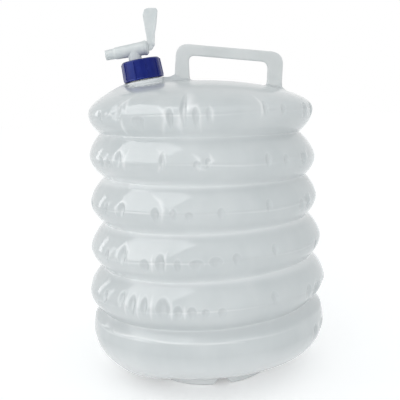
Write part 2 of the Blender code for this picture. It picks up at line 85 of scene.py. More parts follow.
# Bowl and foot: the bowl is pushed up in front, which bares the pads there. Arcs are in degrees from the front.
LIFT_HEIGHT = 0.0082
LIFT_END_RADIUS = 0.135
LIFT_BEND = 0.866
LIFT_MIDDLE = 26.0
LIFT_GONE, LIFT_FULL = 78.0, 36.0
PAD_ARC = 60.0
NOTCH_MIDDLE = 10.0
NOTCH_GONE, NOTCH_FULL = 9.775, 1.275
WELD_WIDTH = 0.0009
WELD_HEIGHT = 0.0007
WELD_RADIUS, WELD_FADE = 0.0310, 0.0020
BOWL_MARKS = (0.012, 0.032)
# Painted light: on the bowl's underside, extra on its right side between these arcs, and on the pads below these
# heights, where contact shade falls
PAINTED_BOWL_LIGHT, PAINTED_SIDE_LIGHT, PAINTED_PAD_LIGHT = 0.80, 0.22, 0.5
PAINTED_SIDE_LIGHT_RISE, PAINTED_SIDE_LIGHT_FALL = (12.0, 48.0), (150.0, 90.0)
PAINTED_PAD_LIGHT_HEIGHTS = (FOOT_HEIGHT + 0.0012, FOOT_HEIGHT)
FOOT_OUTLINE = (
    (0.0713, 0.0069), (0.0710, 0.0050), (0.0707, 0.0030), (0.0703, 0.0012), (0.0694, 0.0003), (0.0680, 0.0),
    *((0.0610 - place * 0.0040, 0.0) for place in range(7)), (0.0352, 0.0004), (0.0338, 0.0020), (0.0326, 0.0045),
    (0.0314, 0.0066), (0.0300, 0.0076), (0.0250, 0.0084), (0.0180, 0.0097), (0.0140, 0.0103), (0.0100, 0.0108),
    (0.0060, 0.0112), (0.0030, 0.0114), (0.0012, 0.0115), (0.0, 0.0115))

# Swelling that carries the neck, as distance from the neck and height: beside it, across from it and outside
SWELL_BESIDE = ((0.0205, 0.0016), (0.0300, 0.0010), (0.0360, 0.0002), (0.0400, 0.0))
SWELL_ACROSS = ((0.0205, -0.0018), (0.0270, -0.0018), (0.0330, -0.0006), (0.0380, 0.0001), (0.0420, 0.0))
SWELL_OUTSIDE = ((0.0205, 0.0058), (0.0265, 0.0050), (0.0400, 0.0028), (0.0520, 0.0014), (0.0620, 0.0))
ACROSS_SINES = (0.30, 0.75)
NECK_OPENING = 0.0168
DOME_TILT, DOME_TILT_REACH = 0.0018, 0.1
# Rises over the dome's crest between which it leaves the lobe's flank, loses its marks, takes its swellings and dulls
# with painted shade
DOME_LEAVES, DOME_PLAIN, DOME_FLAT, DOME_DULL_AND_SHADE = (0.006, 0.002), (0.012, 0.029), (0.0, 0.030), (0.011, 0.031)
RIDGE_RISE = (0.0, 0.012)
MARKED_RADIUS = 0.02
# Painted light on the swelling round the neck and the swelling's height at which it is full; dullness with painted
# shade on the dome's top
PAINTED_SWELL_LIGHT, PAINTED_SWELL_LIGHT_HEIGHT, TOP_DULLNESS_AND_SHADE = 0.4, 0.003, 1.5
# Ridges on the dome along X, under the handle's roots and its web: start, end, height and fall
DOME_RIDGES = ((-0.0262, -0.0132, 0.0030, 0.0042), (0.0800, 0.0935, 0.0030, 0.0042), (-0.0440, -0.0240, 0.0042, 0.0040))
RIDGE_WIDTH = 0.0018

# Neck, cap and tap
NECK_PLACE = Vector((-0.061993, 0.0, 0.338724))
NECK_LEAN = math.radians(8.3823)
NECK_RADIUS = 0.0180
NECK_BORE_RADIUS = 0.0152
NECK_HEIGHT = 0.0180
NECK_STAND = 0.0075
NECK_ROOT = -0.0120
COLLAR_DROP = 0.0012
COLLAR_BAND = 0.0038
COLLAR_GROOVE = 0.0005
COLLAR_RADIUS = 0.0222
SKIRT_START, SKIRT_END = (0.0236, -0.0058), (0.0354, -0.0080)
MOAT_DEPTH = 0.0022
MOAT_START, MOAT_END = 0.0232, 0.0292
MOAT_INSIDE = 0.0195
# Painted light, and dullness with painted shade, on the collar and on the rest of the neck piece
PAINTED_COLLAR_LIGHT, COLLAR_DULLNESS_AND_SHADE = (1.2, 0.55), (0.5, 1.2)
THREAD_PITCH = 0.0050
THREAD_DEPTH = 0.0020
THREAD_ROOT = 0.0024
THREAD_CREST = 0.0010
THREAD_START = 0.0045
THREAD_FADE = 9.0
NECK_TURNS, CAP_TURNS = 1.5, 1.25
WALL_STEP = 0.0002
ON_WALL = 0.00001
NECK_STEPS, CAP_STEPS, LAP_STEPS, TAP_STEPS, BORE_STEPS = 192, 180, 120, 72, 60
CAP_INNER_RADIUS = 0.0203
CAP_OUTER_RADIUS = 0.0224
CAP_CEILING = 0.0204
CAP_HEIGHT = 0.0225
CAP_FLARE = 0.0005
CAP_FLARE_HEIGHT = 0.0020
CAP_TAPER = 0.0008
GRIP_RIBS = 10
RIB_LOW = 0.0016
RIB_DROP = 0.0022
RIB_HALF_WIDTH = 0.0008
RIB_TAPER, RIB_POINTS, RIB_SIDES = (0.985, 1.9), 12, 10
GAP = 0.0003
OVERRUN = 0.002
STEM_OFFSET = 0.0052
STEM_RADIUS = 0.0074
STEM_WAIST_RADIUS = 0.0063
STEM_BORE_RADIUS = 0.0036
FLANGE_RADIUS = 0.0094
BARREL_HEIGHT = 0.0345
BARREL_RADIUS = 0.0078
BARREL_STEP_RADIUS = 0.0067
BARREL_END = 0.0130
BARREL_STEP = 0.0203
STEP_RUN = 0.0015
SPOUT_RADIUS = 0.0060
SPOUT_END_RADIUS = 0.0056
SPOUT_BORE_RADIUS = 0.0042
SPOUT_REACH = 0.0321
PLUG_BORE_RADIUS = 0.0052
PLUG_RADIUS = 0.0049
PLUG_SEAT = 0.0090
HUB_RADIUS = 0.0082
HUB_START = 0.0131
HUB_LENGTH = 0.0040
MOULD_VOXEL = 0.00027
MOULD_ROUNDS = 3
LEVER_THICKNESS = 0.0042
LEVER_CORNER = 0.0012
LEVER_RIB_THICKNESS = 0.0066
LEVER_RIB_WIDTH = 0.0026
LEVER_RIB_CORNER = 0.0008
LEVER_INNER = ((0.0173, 0.0105), (0.0175, 0.0232), (0.0178, 0.0358), (0.0205, 0.0410), (0.0248, 0.0421))
LEVER_OUTER = ((0.0336, 0.0405), (0.0352, 0.0380), (0.0314, 0.0245), (0.0270, 0.0125), (0.0246, 0.0010))
LEVER_ROOT = ((0.0205, -0.0035), (0.0150, -0.0042))

# Carry handle: each outline is a left root, corners as (x, z) or (x, z, fillet), and a right root
HANDLE_THICKNESS = 0.0052
HANDLE_SQUARENESS = 0.30
HANDLE_SWELL, HANDLE_SWELL_HEIGHT = 0.9, 0.0038
HANDLE_STATIONS, HANDLE_EDGE_POINTS = 200, 40
HANDLE_OUTER = (
    ((-0.0290, 0.3290), (-0.0290, 0.3380), (-0.0280, 0.3412)),
    ((-0.0268, 0.3440), (-0.0262, 0.3490, 0.0100), (-0.0232, 0.3777, 0.0180), (0.0974, 0.3624, 0.0155),
     (0.0945, 0.3290)),
    ((0.0946, 0.3250), (0.0954, 0.3215), (0.0958, 0.3150)))
HANDLE_INNER = (
    ((-0.0082, 0.3290), (-0.0084, 0.3350), (-0.0096, 0.3378)),
    ((-0.0101, 0.3405), (-0.0101, 0.3638, 0.0068), (0.0790, 0.3525, 0.0080), (0.0778, 0.3330)),
    ((0.0774, 0.3300), (0.0762, 0.3272), (0.0758, 0.3150)))

# Fold marks. Distances along the wall are in millimetres, at this radius. Whitening with its painted highlights,
# dullness with its painted shade, and edges are shares.
WALL_RADIUS = 132.0
MM_PER_DEGREE = math.radians(WALL_RADIUS)
MARK_ROOM, MARK_NARROWING = 1.4, 0.65
# Depth and floor of the marks, and the edge share of the dullness with painted shade inside them
MARK_DEPTH, MARK_FLOOR, MARK_DULL_AND_SHADE_EDGE = 1.9, 0.2, 0.85
# Width of each mark's rim, the painted highlight round it, and the whitening along pleats, partly painted highlight
MARK_RIM, MARK_RIM_HIGHLIGHT, PLEAT_WHITE_AND_HIGHLIGHT = 0.10, 0.16, 0.7
CREASE_DEPTH, CREASE_WIDTH, CREASE_DROP = 0.26, 0.75, 0.6
# Whitened line under each crease, partly painted highlight: its strength, width and drop in millimetres
CREASE_WHITE_AND_HIGHLIGHT, CREASE_WHITE_AND_HIGHLIGHT_WIDTH, CREASE_WHITE_AND_HIGHLIGHT_DROP = 0.6, 0.8, 0.7
PARTING_HEIGHT, PARTING_WIDTH, PARTING_WHITE = 0.18, 0.8, 0.04
PLEAT_ENDS, PLEAT_WIDTHS = (0.03, 0.97), (0.45, 0.55)
# Waves round the body: height in millimetres, how many, and how they turn from lobe to lobe or per millimetre up
CREASE_WAVES = ((0.7, 3.0, 1.0), (0.5, 8.0, 2.0))
WALL_WAVES = ((0.30, 4.0, 0.045), (0.22, 9.0, -0.09))
# Dullness with painted shade in a band over the lowest lobe's upper flank, and the heights in millimetres where it
# starts and ends
BAND_DULLNESS_AND_SHADE, BAND_START, BAND_END = 0.9, (74.0, 77.0), (93.0, 87.0)
# Marks that folding has left: azimuth from the front in degrees, height, width, reach up and reach down in
# millimetres, and a depth that MARK_DEPTH scales
THUMB_MARKS = [
    (-42.5, 303, 19, 12, 9, 1.5), (-56, 300, 10, 7, 8, 0.9), (-29.5, 296, 17, 5, 13, 0.8),
    (-13.8, 298, 9, 10, 16, 1.5), (-7.6, 304, 9, 19, 20, 2.2), (-2.2, 299, 9, 9, 16, 1.1),
    (3.5, 301, 8, 6, 12, 0.7), (30.5, 303, 8, 8, 10, 0.8), (41, 301, 9, 6, 10, 0.7),
    (-42.5, 256.5, 12, 10.5, 9, 1.5), (-56, 252, 10, 8, 7, 1), (-50, 252, 8, 6, 6, 0.8),
    (-18, 254.5, 8, 12, 9, 1.4), (-2.6, 250.5, 9, 6, 7, 1.3), (2.2, 253.5, 7, 5, 8, 0.9),
    (31, 252, 9, 7, 9, 0.8), (42, 250, 10, 6, 9, 0.7),
    (-41.5, 205.5, 13, 8.5, 9, 1.6), (-53, 203, 9, 9, 8, 1.1), (-22.6, 203, 11, 8, 11, 1.3),
    (-14, 203.5, 9, 6, 9, 1), (-7, 202, 10, 4, 8, 0.6), (7, 203, 9, 6, 8, 0.6),
    (30, 206, 9, 7, 9, 0.8),
    (-41.5, 156.5, 15, 13, 10, 1.8), (-53, 154, 9, 9, 8, 1.1), (-28.4, 150.5, 13, 8, 9, 1.4),
    (-20.6, 153.5, 13, 11, 13, 1.8), (-12.8, 152.5, 8, 7, 9, 1), (-4.5, 154, 16, 5, 8, 1.1),
    (3.8, 155, 15, 6, 8, 1), (13, 157, 10, 6, 9, 0.7), (32, 160, 9, 7, 9, 0.7),
    (-42.6, 112, 10.5, 8, 11, 1.4), (-35.8, 109, 11, 10.5, 15, 1.6), (-29.2, 109, 9.5, 10.5, 14, 1.6),
    (-20, 108, 17, 12, 15, 2), (-13.2, 106, 10, 7, 10, 1.3), (-7.2, 105.5, 10.5, 6.5, 9, 1.2),
    (-1.5, 105, 9, 5, 8, 0.9), (5.5, 105, 10, 5, 8, 0.7), (-55, 108, 9, 9, 9, 1),
    (30, 112, 10, 7, 9, 0.7),
]
# Raised pleats: points as (degrees, height), then width and how far they stand out in millimetres
PLEATS = [
    (((-50, 299.5), (-44, 306), (-38.2, 316), (-36.6, 312), (-35.6, 303.5)), 2.1, 0.55),
    (((-38.6, 298), (-39.4, 290), (-40.3, 282)), 2.2, 0.75),
    (((-19.2, 309), (-16.4, 304), (-15.8, 296), (-18.7, 281.6)), 2.6, 0.85),
    (((-7.6, 325), (-4.6, 317), (-5, 308), (-8, 300)), 4.2, 1.15),
    (((-5.6, 309), (-7.8, 300), (-9.6, 291), (-9.4, 283)), 4, 1.05),
    (((-52, 73.4), (-50, 71.8), (-45.1, 71.9), (-40, 72.9), (-36.2, 73.5)), 1.5, 0.60),
    (((-50, 72.4), (-36.2, 73.5), (-25.8, 73), (-20.5, 72.3), (-13.2, 72.4), (-4.5, 72.7), (4.1, 72.3),
      (15, 70.7)), 1, 0.45),
    (((-5.2, 303), (-4.4, 308), (-1.8, 308.5), (-0.6, 302), (-0.2, 283)), 1.9, 0.60),
    (((4, 308), (5, 302), (5.2, 292)), 1.5, 0.30), (((28, 316), (29, 306), (28, 294)), 1.8, 0.40),
    (((-46.4, 250), (-46, 260), (-42.5, 267.5), (-39, 262), (-39.4, 247)), 1.9, 0.55),
    (((-36.6, 267), (-37.6, 258), (-38.6, 247)), 1.9, 0.50),
    (((-21, 267), (-17.6, 262), (-17.2, 255), (-20.5, 245.6)), 2.1, 0.70),
    (((-4.5, 262), (-1.5, 257), (-3, 249), (1, 246)), 1.9, 0.60),
    (((3, 262), (4.5, 255), (1, 250)), 1.4, 0.40),
    (((-45, 198), (-45.4, 208), (-42, 214.5), (-38.2, 212)), 1.4, 0.45),
    (((-26, 223), (-20.6, 216), (-18.4, 208), (-19.6, 196)), 2.1, 0.65),
    (((-15.6, 208), (-14, 205), (-15, 202)), 1.3, 0.40),
    (((-45.6, 150), (-45.8, 163), (-41.8, 170.5), (-37.6, 164), (-37, 150)), 1.5, 0.45),
    (((-17.6, 166), (-18.6, 158), (-18.4, 146)), 1.4, 0.60), (((-24.6, 162), (-24.6, 152), (-25, 144)), 1.5, 0.40),
    (((-39.2, 119), (-39.4, 110), (-39.6, 96)), 1.4, 0.40), (((-32.5, 120), (-32.4, 108), (-32.6, 94)), 1.4, 0.45),
    (((-25.6, 120), (-25.2, 108), (-25.8, 95)), 1.6, 0.45), (((-16, 116), (-15.9, 106), (-16.2, 97)), 1.4, 0.40),
    (((-10.4, 112), (-10.2, 105), (-10.4, 98)), 1.3, 0.35),
]
# Marks of the same kind where the photograph shows none: arcs in degrees, the rest in millimetres
SCATTER_SEED, SCATTER_START, SCATTER_END = 7, 50.0, 292.0
SCATTER_FIRST_GAP, SCATTER_GAP, SCATTER_SPACING = (0.0, 16.0), (9.0, 34.0), (1.15, 2.1)
SCATTER_MOST, SCATTER_SIZES, SCATTER_RISE, SCATTER_PLEAT_SIZE = 5, (0.45, 1.0), (-3.5, 2.0), 0.45
SCATTER_EDGE, SCATTER_LEAN, SCATTER_UP_SHARE = (1.5, 3.0), (-2.2, 1.2), (0.6, 1.2)
# Reach up, then width, reach down and depth of such a mark: at size 0, and more per size
SCATTER_UP = (4.0, 9.0)
SCATTER_MEASURES = ((6.0, 15.0), (8.0, 8.0), (0.35, 1.35))


# Node trees

def adds_node(operation, swapped=False):
    """An operator of Wire, which adds a Math node."""
    def act(self, other):
        return self.tree.sum(operation, *((other, self) if swapped else (self, other)))
    return act


class Wire:
    """A node socket that takes part in sums."""

    def __init__(self, tree, socket):
        self.tree = tree
        self.socket = socket

    def other(self, name):
        """Another output of the same node."""
        return Wire(self.tree, self.socket.node.outputs[name])

    def __neg__(self):
        return self * -1.0

    __add__ = __radd__ = adds_node("ADD")
    __mul__ = __rmul__ = adds_node("MULTIPLY")
    __sub__, __rsub__ = adds_node("SUBTRACT"), adds_node("SUBTRACT", swapped=True)
    __truediv__ = adds_node("DIVIDE")


class Tree:
    """A node tree in the making, for a material, the world or Geometry Nodes."""

    def __init__(self, nodes):
        self.nodes = nodes

    def add(self, kind, inputs=(), out=0, **settings):
        """Adds a node, with the values or links of its sockets by place or by name, and its settings."""
        node = self.nodes.nodes.new(kind)
        for name, value in settings.items():
            setattr(node, name, value)
        for key, value in inputs.items() if isinstance(inputs, dict) else enumerate(inputs):
            if isinstance(value, Wire):
                self.nodes.links.new(value.socket, node.inputs[key])
            elif value is not None:
                node.inputs[key].default_value = value
        return Wire(self, node.outputs[out]) if len(node.outputs) else None

    def sum(self, operation, *values):
        return self.add("ShaderNodeMath", values, operation=operation)


def for_both(operation, plain):
    """A function that adds a Math node for a wire and works out plain numbers by itself."""
    def act(value):
        return value.tree.sum(operation, value) if isinstance(value, Wire) else plain(value)
    return act


root, sine, cosine = for_both("SQRT", np.sqrt), for_both("SINE", np.sin), for_both("COSINE", np.cos)


def clamped(value):
    if isinstance(value, Wire):
        return value.tree.add("ShaderNodeClamp", [value, 0.0, 1.0])
    return np.clip(value, 0.0, 1.0)


# Materials

def finish(name):
    """A new material and the tree that makes it."""
    material = bpy.data.materials.new(name)
    material.use_nodes = True
    material.node_tree.nodes.clear()
    return material, Tree(material.node_tree)


def close_finish(tree, inputs):
    """Ends a material in its Principled shader."""
    tree.add("ShaderNodeOutputMaterial", [tree.add("ShaderNodeBsdfPrincipled", inputs)])


def blended(tree, share, first, second):
    """A colour between two colours."""
    return tree.add("ShaderNodeMix", {0: share, 6: first, 7: second}, out=2, data_type="RGBA")


def place_on_piece(tree):
    return tree.add("ShaderNodeTexCoord", out="Object")


def grain(tree, place, scale, detail, height=1.0):
    """Noise on a piece. A height under 1 draws it out along Z."""
    if height != 1.0:
        place = tree.add("ShaderNodeMapping", {"Vector": place, "Scale": (1.0, 1.0, height)})
    return tree.add("ShaderNodeTexNoise", {"Vector": place, "Scale": scale, "Detail": detail})


def uneven(tree, place, layers):
    """The normals of layers of noise, coarse ones first, each a scale, a detail, a height and a strength."""
    normal = None
    for scale, detail, height, strength in layers:
        normal = tree.add("ShaderNodeBump", {"Strength": strength, "Distance": height, "Normal": normal,
                                             "Height": grain(tree, place, scale, detail)})
    return normal


def lets_light_in(weight, depth):
    return {"Subsurface Weight": weight, "Subsurface Radius": (0.9, 1.0, 1.0), "Subsurface Scale": depth}


def milky_bottle_plastic():
    """Natural blow-moulded plastic: cloudy, glossy, whitened where it has been creased, with painted highlights on
    creases and pleats, painted light where shade falls, and painted shade where its gloss is duller.
    """
    material, tree = finish("milky_bottle_plastic")
    place = place_on_piece(tree)
    clouds, flow = grain(tree, place, 16.0, 3.0), grain(tree, place, 60.0, 3.0, height=0.18)
    # Attributes: whitening, partly painted highlight; painted light where shade falls; dullness with painted shade
    crease, painted_light, dull_and_shade = (tree.add("ShaderNodeAttribute", out="Fac", attribute_name=name)
                          for name in ("crease", "painted_light", "dull_and_shade"))
    tone = (0.585, 0.622, 0.630, 1.0)
    for share, color in (((clouds - 0.32) * 2.6, (0.650, 0.682, 0.688, 1.0)),
                         ((flow - 0.45) * 0.9, (0.690, 0.715, 0.715, 1.0)),
                         # Painted light: paler where shade falls, in hollows, on undersides, pads, collar and the
                         # swelling by the neck
                         (painted_light * 0.75, (0.860, 0.880, 0.885, 1.0)),
                         # Whitening where creased, partly painted highlight on creases, pleats and the rims of marks
                         (crease * 0.75, (0.900, 0.915, 0.920, 1.0)),
                         # Painted shade: a shade darker wherever the wall is duller
                         (dull_and_shade * 0.50, (0.575, 0.606, 0.614, 1.0))):
        tone = blended(tree, clamped(share), tone, color)
    close_finish(tree, {
        "Base Color": tone, "Roughness": 0.03 + clouds * 0.03 + crease * 0.04 + clamped(dull_and_shade) * 0.165, "IOR": 1.46,
        "Normal": uneven(tree, place, ((55.0, 2.0, 0.0006, 0.25), (900.0, 1.0, 0.00004, 0.25))),
        **lets_light_in(0.15, 0.004)})
    return material


def moulded_finish(name, cloud_scale, dark, pale, gloss, layers, constants, cloud_floor=0.3, contrast=2.2,
                   streak=None):
    """A moulded material whose colour and gloss are a little cloudy, with a fine grain and faint streaks."""
    material, tree = finish(name)
    place = place_on_piece(tree)
    clouds = grain(tree, place, cloud_scale, 3.0)
    tone = blended(tree, clamped((clouds - cloud_floor) * contrast), dark, pale)
    if streak is not None:
        tone = blended(tree, clamped((grain(tree, place, 700.0, 2.0, height=0.1) - 0.5) * 0.8), tone, streak)
    close_finish(tree, {"Base Color": tone, "Roughness": gloss[0] + clouds * gloss[1],
                        "Normal": uneven(tree, place, layers), **constants})
    return material


BOTTLE = milky_bottle_plastic()
# The bottle's plastic pressed solid in the handle: flatter and a shade darker
HANDLE = moulded_finish(
    "pinched_handle_plastic", 40.0, (0.625, 0.650, 0.650, 1.0), (0.690, 0.712, 0.712, 1.0), (0.33, 0.12),
    ((90.0, 2.0, 0.0006, 0.3), (1400.0, 1.0, 0.00004, 0.5)), {"IOR": 1.48, **lets_light_in(0.15, 0.004)})
# Deep blue, with faint flow streaks
CAP = moulded_finish(
    "navy_cap_plastic", 120.0, (0.002, 0.004, 0.100, 1.0), (0.005, 0.009, 0.150, 1.0), (0.20, 0.12),
    ((2600.0, 1.0, 0.00003, 0.5),),
    {"IOR": 1.36, "Specular IOR Level": 0.80, "Specular Tint": (0.26, 0.38, 1.0, 1.0)},
    cloud_floor=0.0, contrast=1.0, streak=(0.022, 0.036, 0.260, 1.0))
# White-grey and a little waxy
TAP = moulded_finish(
    "tap_plastic", 150.0, (0.610, 0.650, 0.655, 1.0), (0.690, 0.720, 0.722, 1.0), (0.30, 0.12),
    ((2200.0, 1.0, 0.00003, 0.5),), {"IOR": 1.48, **lets_light_in(0.12, 0.003)})
# Grey, with a fine matt grain
RUBBER = moulded_finish(
    "washer_rubber", 1800.0, (0.200, 0.205, 0.210, 1.0), (0.340, 0.345, 0.350, 1.0), (0.68, 0.14),
    ((1800.0, 3.0, 0.00008, 0.7),), {}, cloud_floor=0.0, contrast=1.0)


# Shape of the bottle

def eased(value, ease):
    """The positive part of a value, with a rounded bend."""
    return (value + root(value * value + ease * ease)) * 0.5


def flank_drop(rise, lift, upper, lower, crease, kink):
    """How far a lobe's flank has fallen in from its crest, at a height over the crest."""
    above, below, past_crease = eased(rise, LINE_EASE), eased(-rise, LINE_EASE), eased(rise - crease, LINE_EASE)
    return above * lift + above * above * upper + below * below * lower + past_crease * kink


def crest_height(azimuth, part):
    """Height of a lobe's leaning crest."""
    return sine(azimuth) * (part.lean * part.radius) + part.height


def lobe_radius(azimuth, height, part):
    rise = height - crest_height(azimuth, part)
    return part.radius - flank_drop(rise, part.lift, part.upper, part.lower, part.crease, part.kink)


def outer_of(first, second):
    """The larger of two radii, rounded where they meet."""
    apart = first - second
    return (first + second + root(apart * apart + VALLEY_EASE * VALLEY_EASE)) * 0.5


def arc_distance(azimuth, place):
    """Distance round the body from a place given in degrees, in millimetres."""
    return ((azimuth - math.radians(place) + math.pi) % math.tau - math.pi) * WALL_RADIUS


def share_of(value, start, end):
    """How far a value has come from start to end, from 0 to 1. The end may be the lower one."""
    return clamped((value - start) / (end - start))


def step(value, start, end):
    """A rounded step from 0 at start to 1 at end."""
    share = share_of(value, start, end)
    return share * share * (3.0 - 2.0 * share)


def gentle_step(value, start, end):
    """A step whose curvature is even too, so that it leaves no line in the gloss."""
    share = share_of(value, start, end)
    return share ** 3 * (share * (6.0 * share - 15.0) + 10.0)


def bell(value, width):
    return np.exp(-(value / width) ** 2)


def on_curve(place, points):
    """Height at a place of the line through (place, height) points."""
    return np.interp(place, *zip(*points))


def scattered_marks():
    """Clusters of marks and pleats round the sides and the back."""
    chance = np.random.default_rng(SCATTER_SEED)
    marks, pleats = [], []
    for part in LOBES:
        azimuth = SCATTER_START + chance.uniform(*SCATTER_FIRST_GAP)
        while azimuth < SCATTER_END:
            largest = chance.uniform(*SCATTER_SIZES)
            for _ in range(chance.integers(1, SCATTER_MOST + 1)):
                size = largest * chance.uniform(*SCATTER_SIZES)
                level = 1000.0 * part.height + chance.uniform(*SCATTER_RISE)
                width, down, deep = (least + more * size for least, more in SCATTER_MEASURES)
                up = SCATTER_UP[0] + SCATTER_UP[1] * size * chance.uniform(*SCATTER_UP_SHARE)
                marks.append((azimuth, level, width, up, down, deep))
                edge = azimuth + (width / 2.0 + chance.uniform(*SCATTER_EDGE)) / MM_PER_DEGREE
                if size > SCATTER_PLEAT_SIZE and edge < SCATTER_END:
                    lean = chance.uniform(*SCATTER_LEAN)
                    pleats.append((((edge + lean, level + 10.0 * size + 3.0), (edge, level + 2.0),
                                    (edge - lean * 0.4, level - 14.0 * size)), 1.5, 0.35 + 0.30 * size))
                azimuth += width / MM_PER_DEGREE * chance.uniform(*SCATTER_SPACING)
            azimuth += chance.uniform(*SCATTER_GAP)
    return THUMB_MARKS + marks, PLEATS + pleats


ALL_THUMB_MARKS, ALL_PLEATS = scattered_marks()


def pleat_height(across, height, points, width, tall):
    """Height of one raised pleat over the surface, thinning out at both ends."""
    best, share = np.full(across.shape, np.inf), np.zeros(across.shape)
    count = len(points) - 1
    for i in range(count):
        start, end = np.array(points[i]), np.array(points[i + 1])
        run = end - start
        along = clamped(((across - start[0]) * run[0] + (height - start[1]) * run[1]) / (run @ run))
        far = np.hypot(across - start[0] - along * run[0], height - start[1] - along * run[1])
        share = np.where(far < best, (i + along) / count, share)
        best = np.minimum(far, best)
    taper = np.sqrt(clamped(np.sin(np.pi * np.clip(share, *PLEAT_ENDS))))
    return tall * taper * bell(best, width * (PLEAT_WIDTHS[0] + PLEAT_WIDTHS[1] * taper))


def fold_marks(azimuth, height):
    """Inward depth in metres, whitening with painted highlight and dullness with painted shade, 0 to 1, of the marks on
    the bottle's wall.
    """
    level = height * 1000.0
    depth, white, dull_and_shade = (np.zeros(azimuth.shape) for _ in range(3))
    for place, mark_level, width, up, down, deep in ALL_THUMB_MARKS:
        rise, across = level - mark_level, arc_distance(azimuth, place)
        near = (np.abs(across) < width) & (rise < up * MARK_ROOM) & (rise > -down * MARK_ROOM)
        if near.any():
            rise, across = rise[near], across[near]
            tail = clamped(-rise / down)
            far = np.hypot(across / (width / 2.0 * (1.0 - MARK_NARROWING * tail)), np.maximum(rise / up, 0.0))
            fade = step(tail, 1.0, 0.0)
            depth[near] += MARK_DEPTH * deep * step(far, 1.0, MARK_FLOOR) * fade
            # Dullness with painted shade inside each mark
            dull_and_shade[near] += step(far, 1.0, MARK_DULL_AND_SHADE_EDGE) * fade
            # Painted highlight round the rim of each mark
            white[near] += MARK_RIM_HIGHLIGHT * bell(far - 1.0, MARK_RIM) * min(deep, 1.0) * fade
    for points, width, tall in ALL_PLEATS:
        middle, room = points[len(points) // 2][0], 3.0 * width
        across = arc_distance(azimuth, middle)
        on_wall = [((place - middle) * MM_PER_DEGREE, rise) for place, rise in points]
        rises = [rise for _, rise in on_wall]
        near = np.abs(across) < max(abs(place) for place, _ in on_wall) + room
        near &= (level > min(rises) - room) & (level < max(rises) + room)
        if near.any():
            pleat = pleat_height(across[near], level[near], on_wall, width, tall)
            depth[near] -= pleat
            # Whitening along each pleat, partly painted highlight
            white[near] += PLEAT_WHITE_AND_HIGHLIGHT * pleat / tall
    # The line that folding has left along each crest, strongest in front, with a whitened line under it that is partly
    # painted highlight
    for index, part in enumerate(LOBES):
        line = 1000.0 * (crest_height(azimuth, part) + part.crease) - CREASE_DROP
        for tall, count, turn in CREASE_WAVES:
            line = line + tall * np.sin(count * azimuth + turn * index)
        fade = (0.55 + 0.45 * np.sin(5.0 * azimuth + 1.7 * index)) * (0.35 + 0.65 * bell(azimuth + 0.35, 0.7))
        depth += CREASE_DEPTH * fade * bell(level - line, CREASE_WIDTH)
        # Whitened line just under each crease, partly painted highlight
        white += CREASE_WHITE_AND_HIGHLIGHT * fade * bell(level - line + CREASE_WHITE_AND_HIGHLIGHT_DROP, CREASE_WHITE_AND_HIGHLIGHT_WIDTH)
    parting = bell((np.abs(azimuth) - math.pi / 2.0) * WALL_RADIUS, PARTING_WIDTH)
    depth -= PARTING_HEIGHT * parting
    white += PARTING_WHITE * parting
    # Dullness with painted shade on the lowest lobe's upper flank
    dull_and_shade += BAND_DULLNESS_AND_SHADE * step(level, *BAND_START) * step(level, *BAND_END)
    slow = sum(tall * (1.0 + np.sin(count * azimuth + level * turn)) for tall, count, turn in WALL_WAVES)
    return (depth + slow) * 0.001, clamped(white), clamped(dull_and_shade)


# Making of pieces

def new_piece(name, mesh, material, body, *nodes, sharp=None):
    """Puts a finished mesh on its CAD body in place of the CAD nodes that it stands for.

    Edges over the angle sharp, in degrees, stay sharp.
    """
    piece = loose_item(name, mesh)
    if sharp is not None:
        mesh.shade_smooth()
        mesh.set_sharp_from_angle(angle=math.radians(sharp))
    mesh.materials.clear()
    mesh.materials.append(material)
    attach(piece, body)
    if nodes:
        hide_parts(*nodes)
    return piece


def loose_item(name, mesh):
    item = bpy.data.objects.new(name, mesh)
    bpy.context.scene.collection.objects.link(item)
    return item


def wall_faces(rows, steps):
    """Quads of a wall that goes round, with its first row lowest."""
    row, place = np.meshgrid(np.arange(rows) * steps, np.arange(steps), indexing="ij")
    after = (place + 1) % steps
    return np.stack([row + place, row + after, row + steps + after, row + steps + place], axis=-1).reshape(-1, 4)


def mesh_of(name, points, faces, smooth=True):
    mesh = bpy.data.meshes.new(name)
    mesh.from_pydata(points.reshape(-1, 3).tolist(), [], faces.tolist() if hasattr(faces, "tolist") else faces)
    mesh.update()
    if smooth:
        mesh.shade_smooth()
    return mesh


def clean_mesh(mesh, outward=True):
    """Merges doubles and turns the faces outwards."""
    shape = bmesh.new()
    shape.from_mesh(mesh)
    bmesh.ops.remove_doubles(shape, verts=shape.verts, dist=MERGE_DISTANCE)
    bmesh.ops.dissolve_degenerate(shape, edges=shape.edges, dist=MERGE_DISTANCE / 2.0)
    if outward:
        bmesh.ops.recalc_face_normals(shape, faces=shape.faces)
    shape.to_mesh(mesh)
    shape.free()
    return mesh


def set_wall_marks(mesh, crease, painted_light, dull_and_shade):
    """Records the wall's whitening by creases, partly painted highlight, its painted light where shade falls, and its
    dullness with painted shade.
    """
    for name, values in (("crease", crease), ("painted_light", painted_light), ("dull_and_shade", dull_and_shade)):
        attribute = mesh.attributes.new(name, "FLOAT", "POINT")
        attribute.data.foreach_set("value", np.asarray(values, np.float32).ravel())


def points_of(mesh):
    points = np.empty(len(mesh.vertices) * 3)
    mesh.vertices.foreach_get("co", points)
    return points.reshape(-1, 3)


def set_points(mesh, points):
    mesh.vertices.foreach_set("co", np.asarray(points, float).ravel())
    mesh.update()


def evaluated_mesh(item):
    """The mesh that an object's modifiers give, as plain data. The object is removed."""
    bpy.context.view_layer.update()
    shape = item.evaluated_get(bpy.context.evaluated_depsgraph_get())
    mesh = bpy.data.meshes.new_from_object(shape)
    item.modifiers.clear()
    bpy.data.objects.remove(item, do_unlink=True)
    return mesh


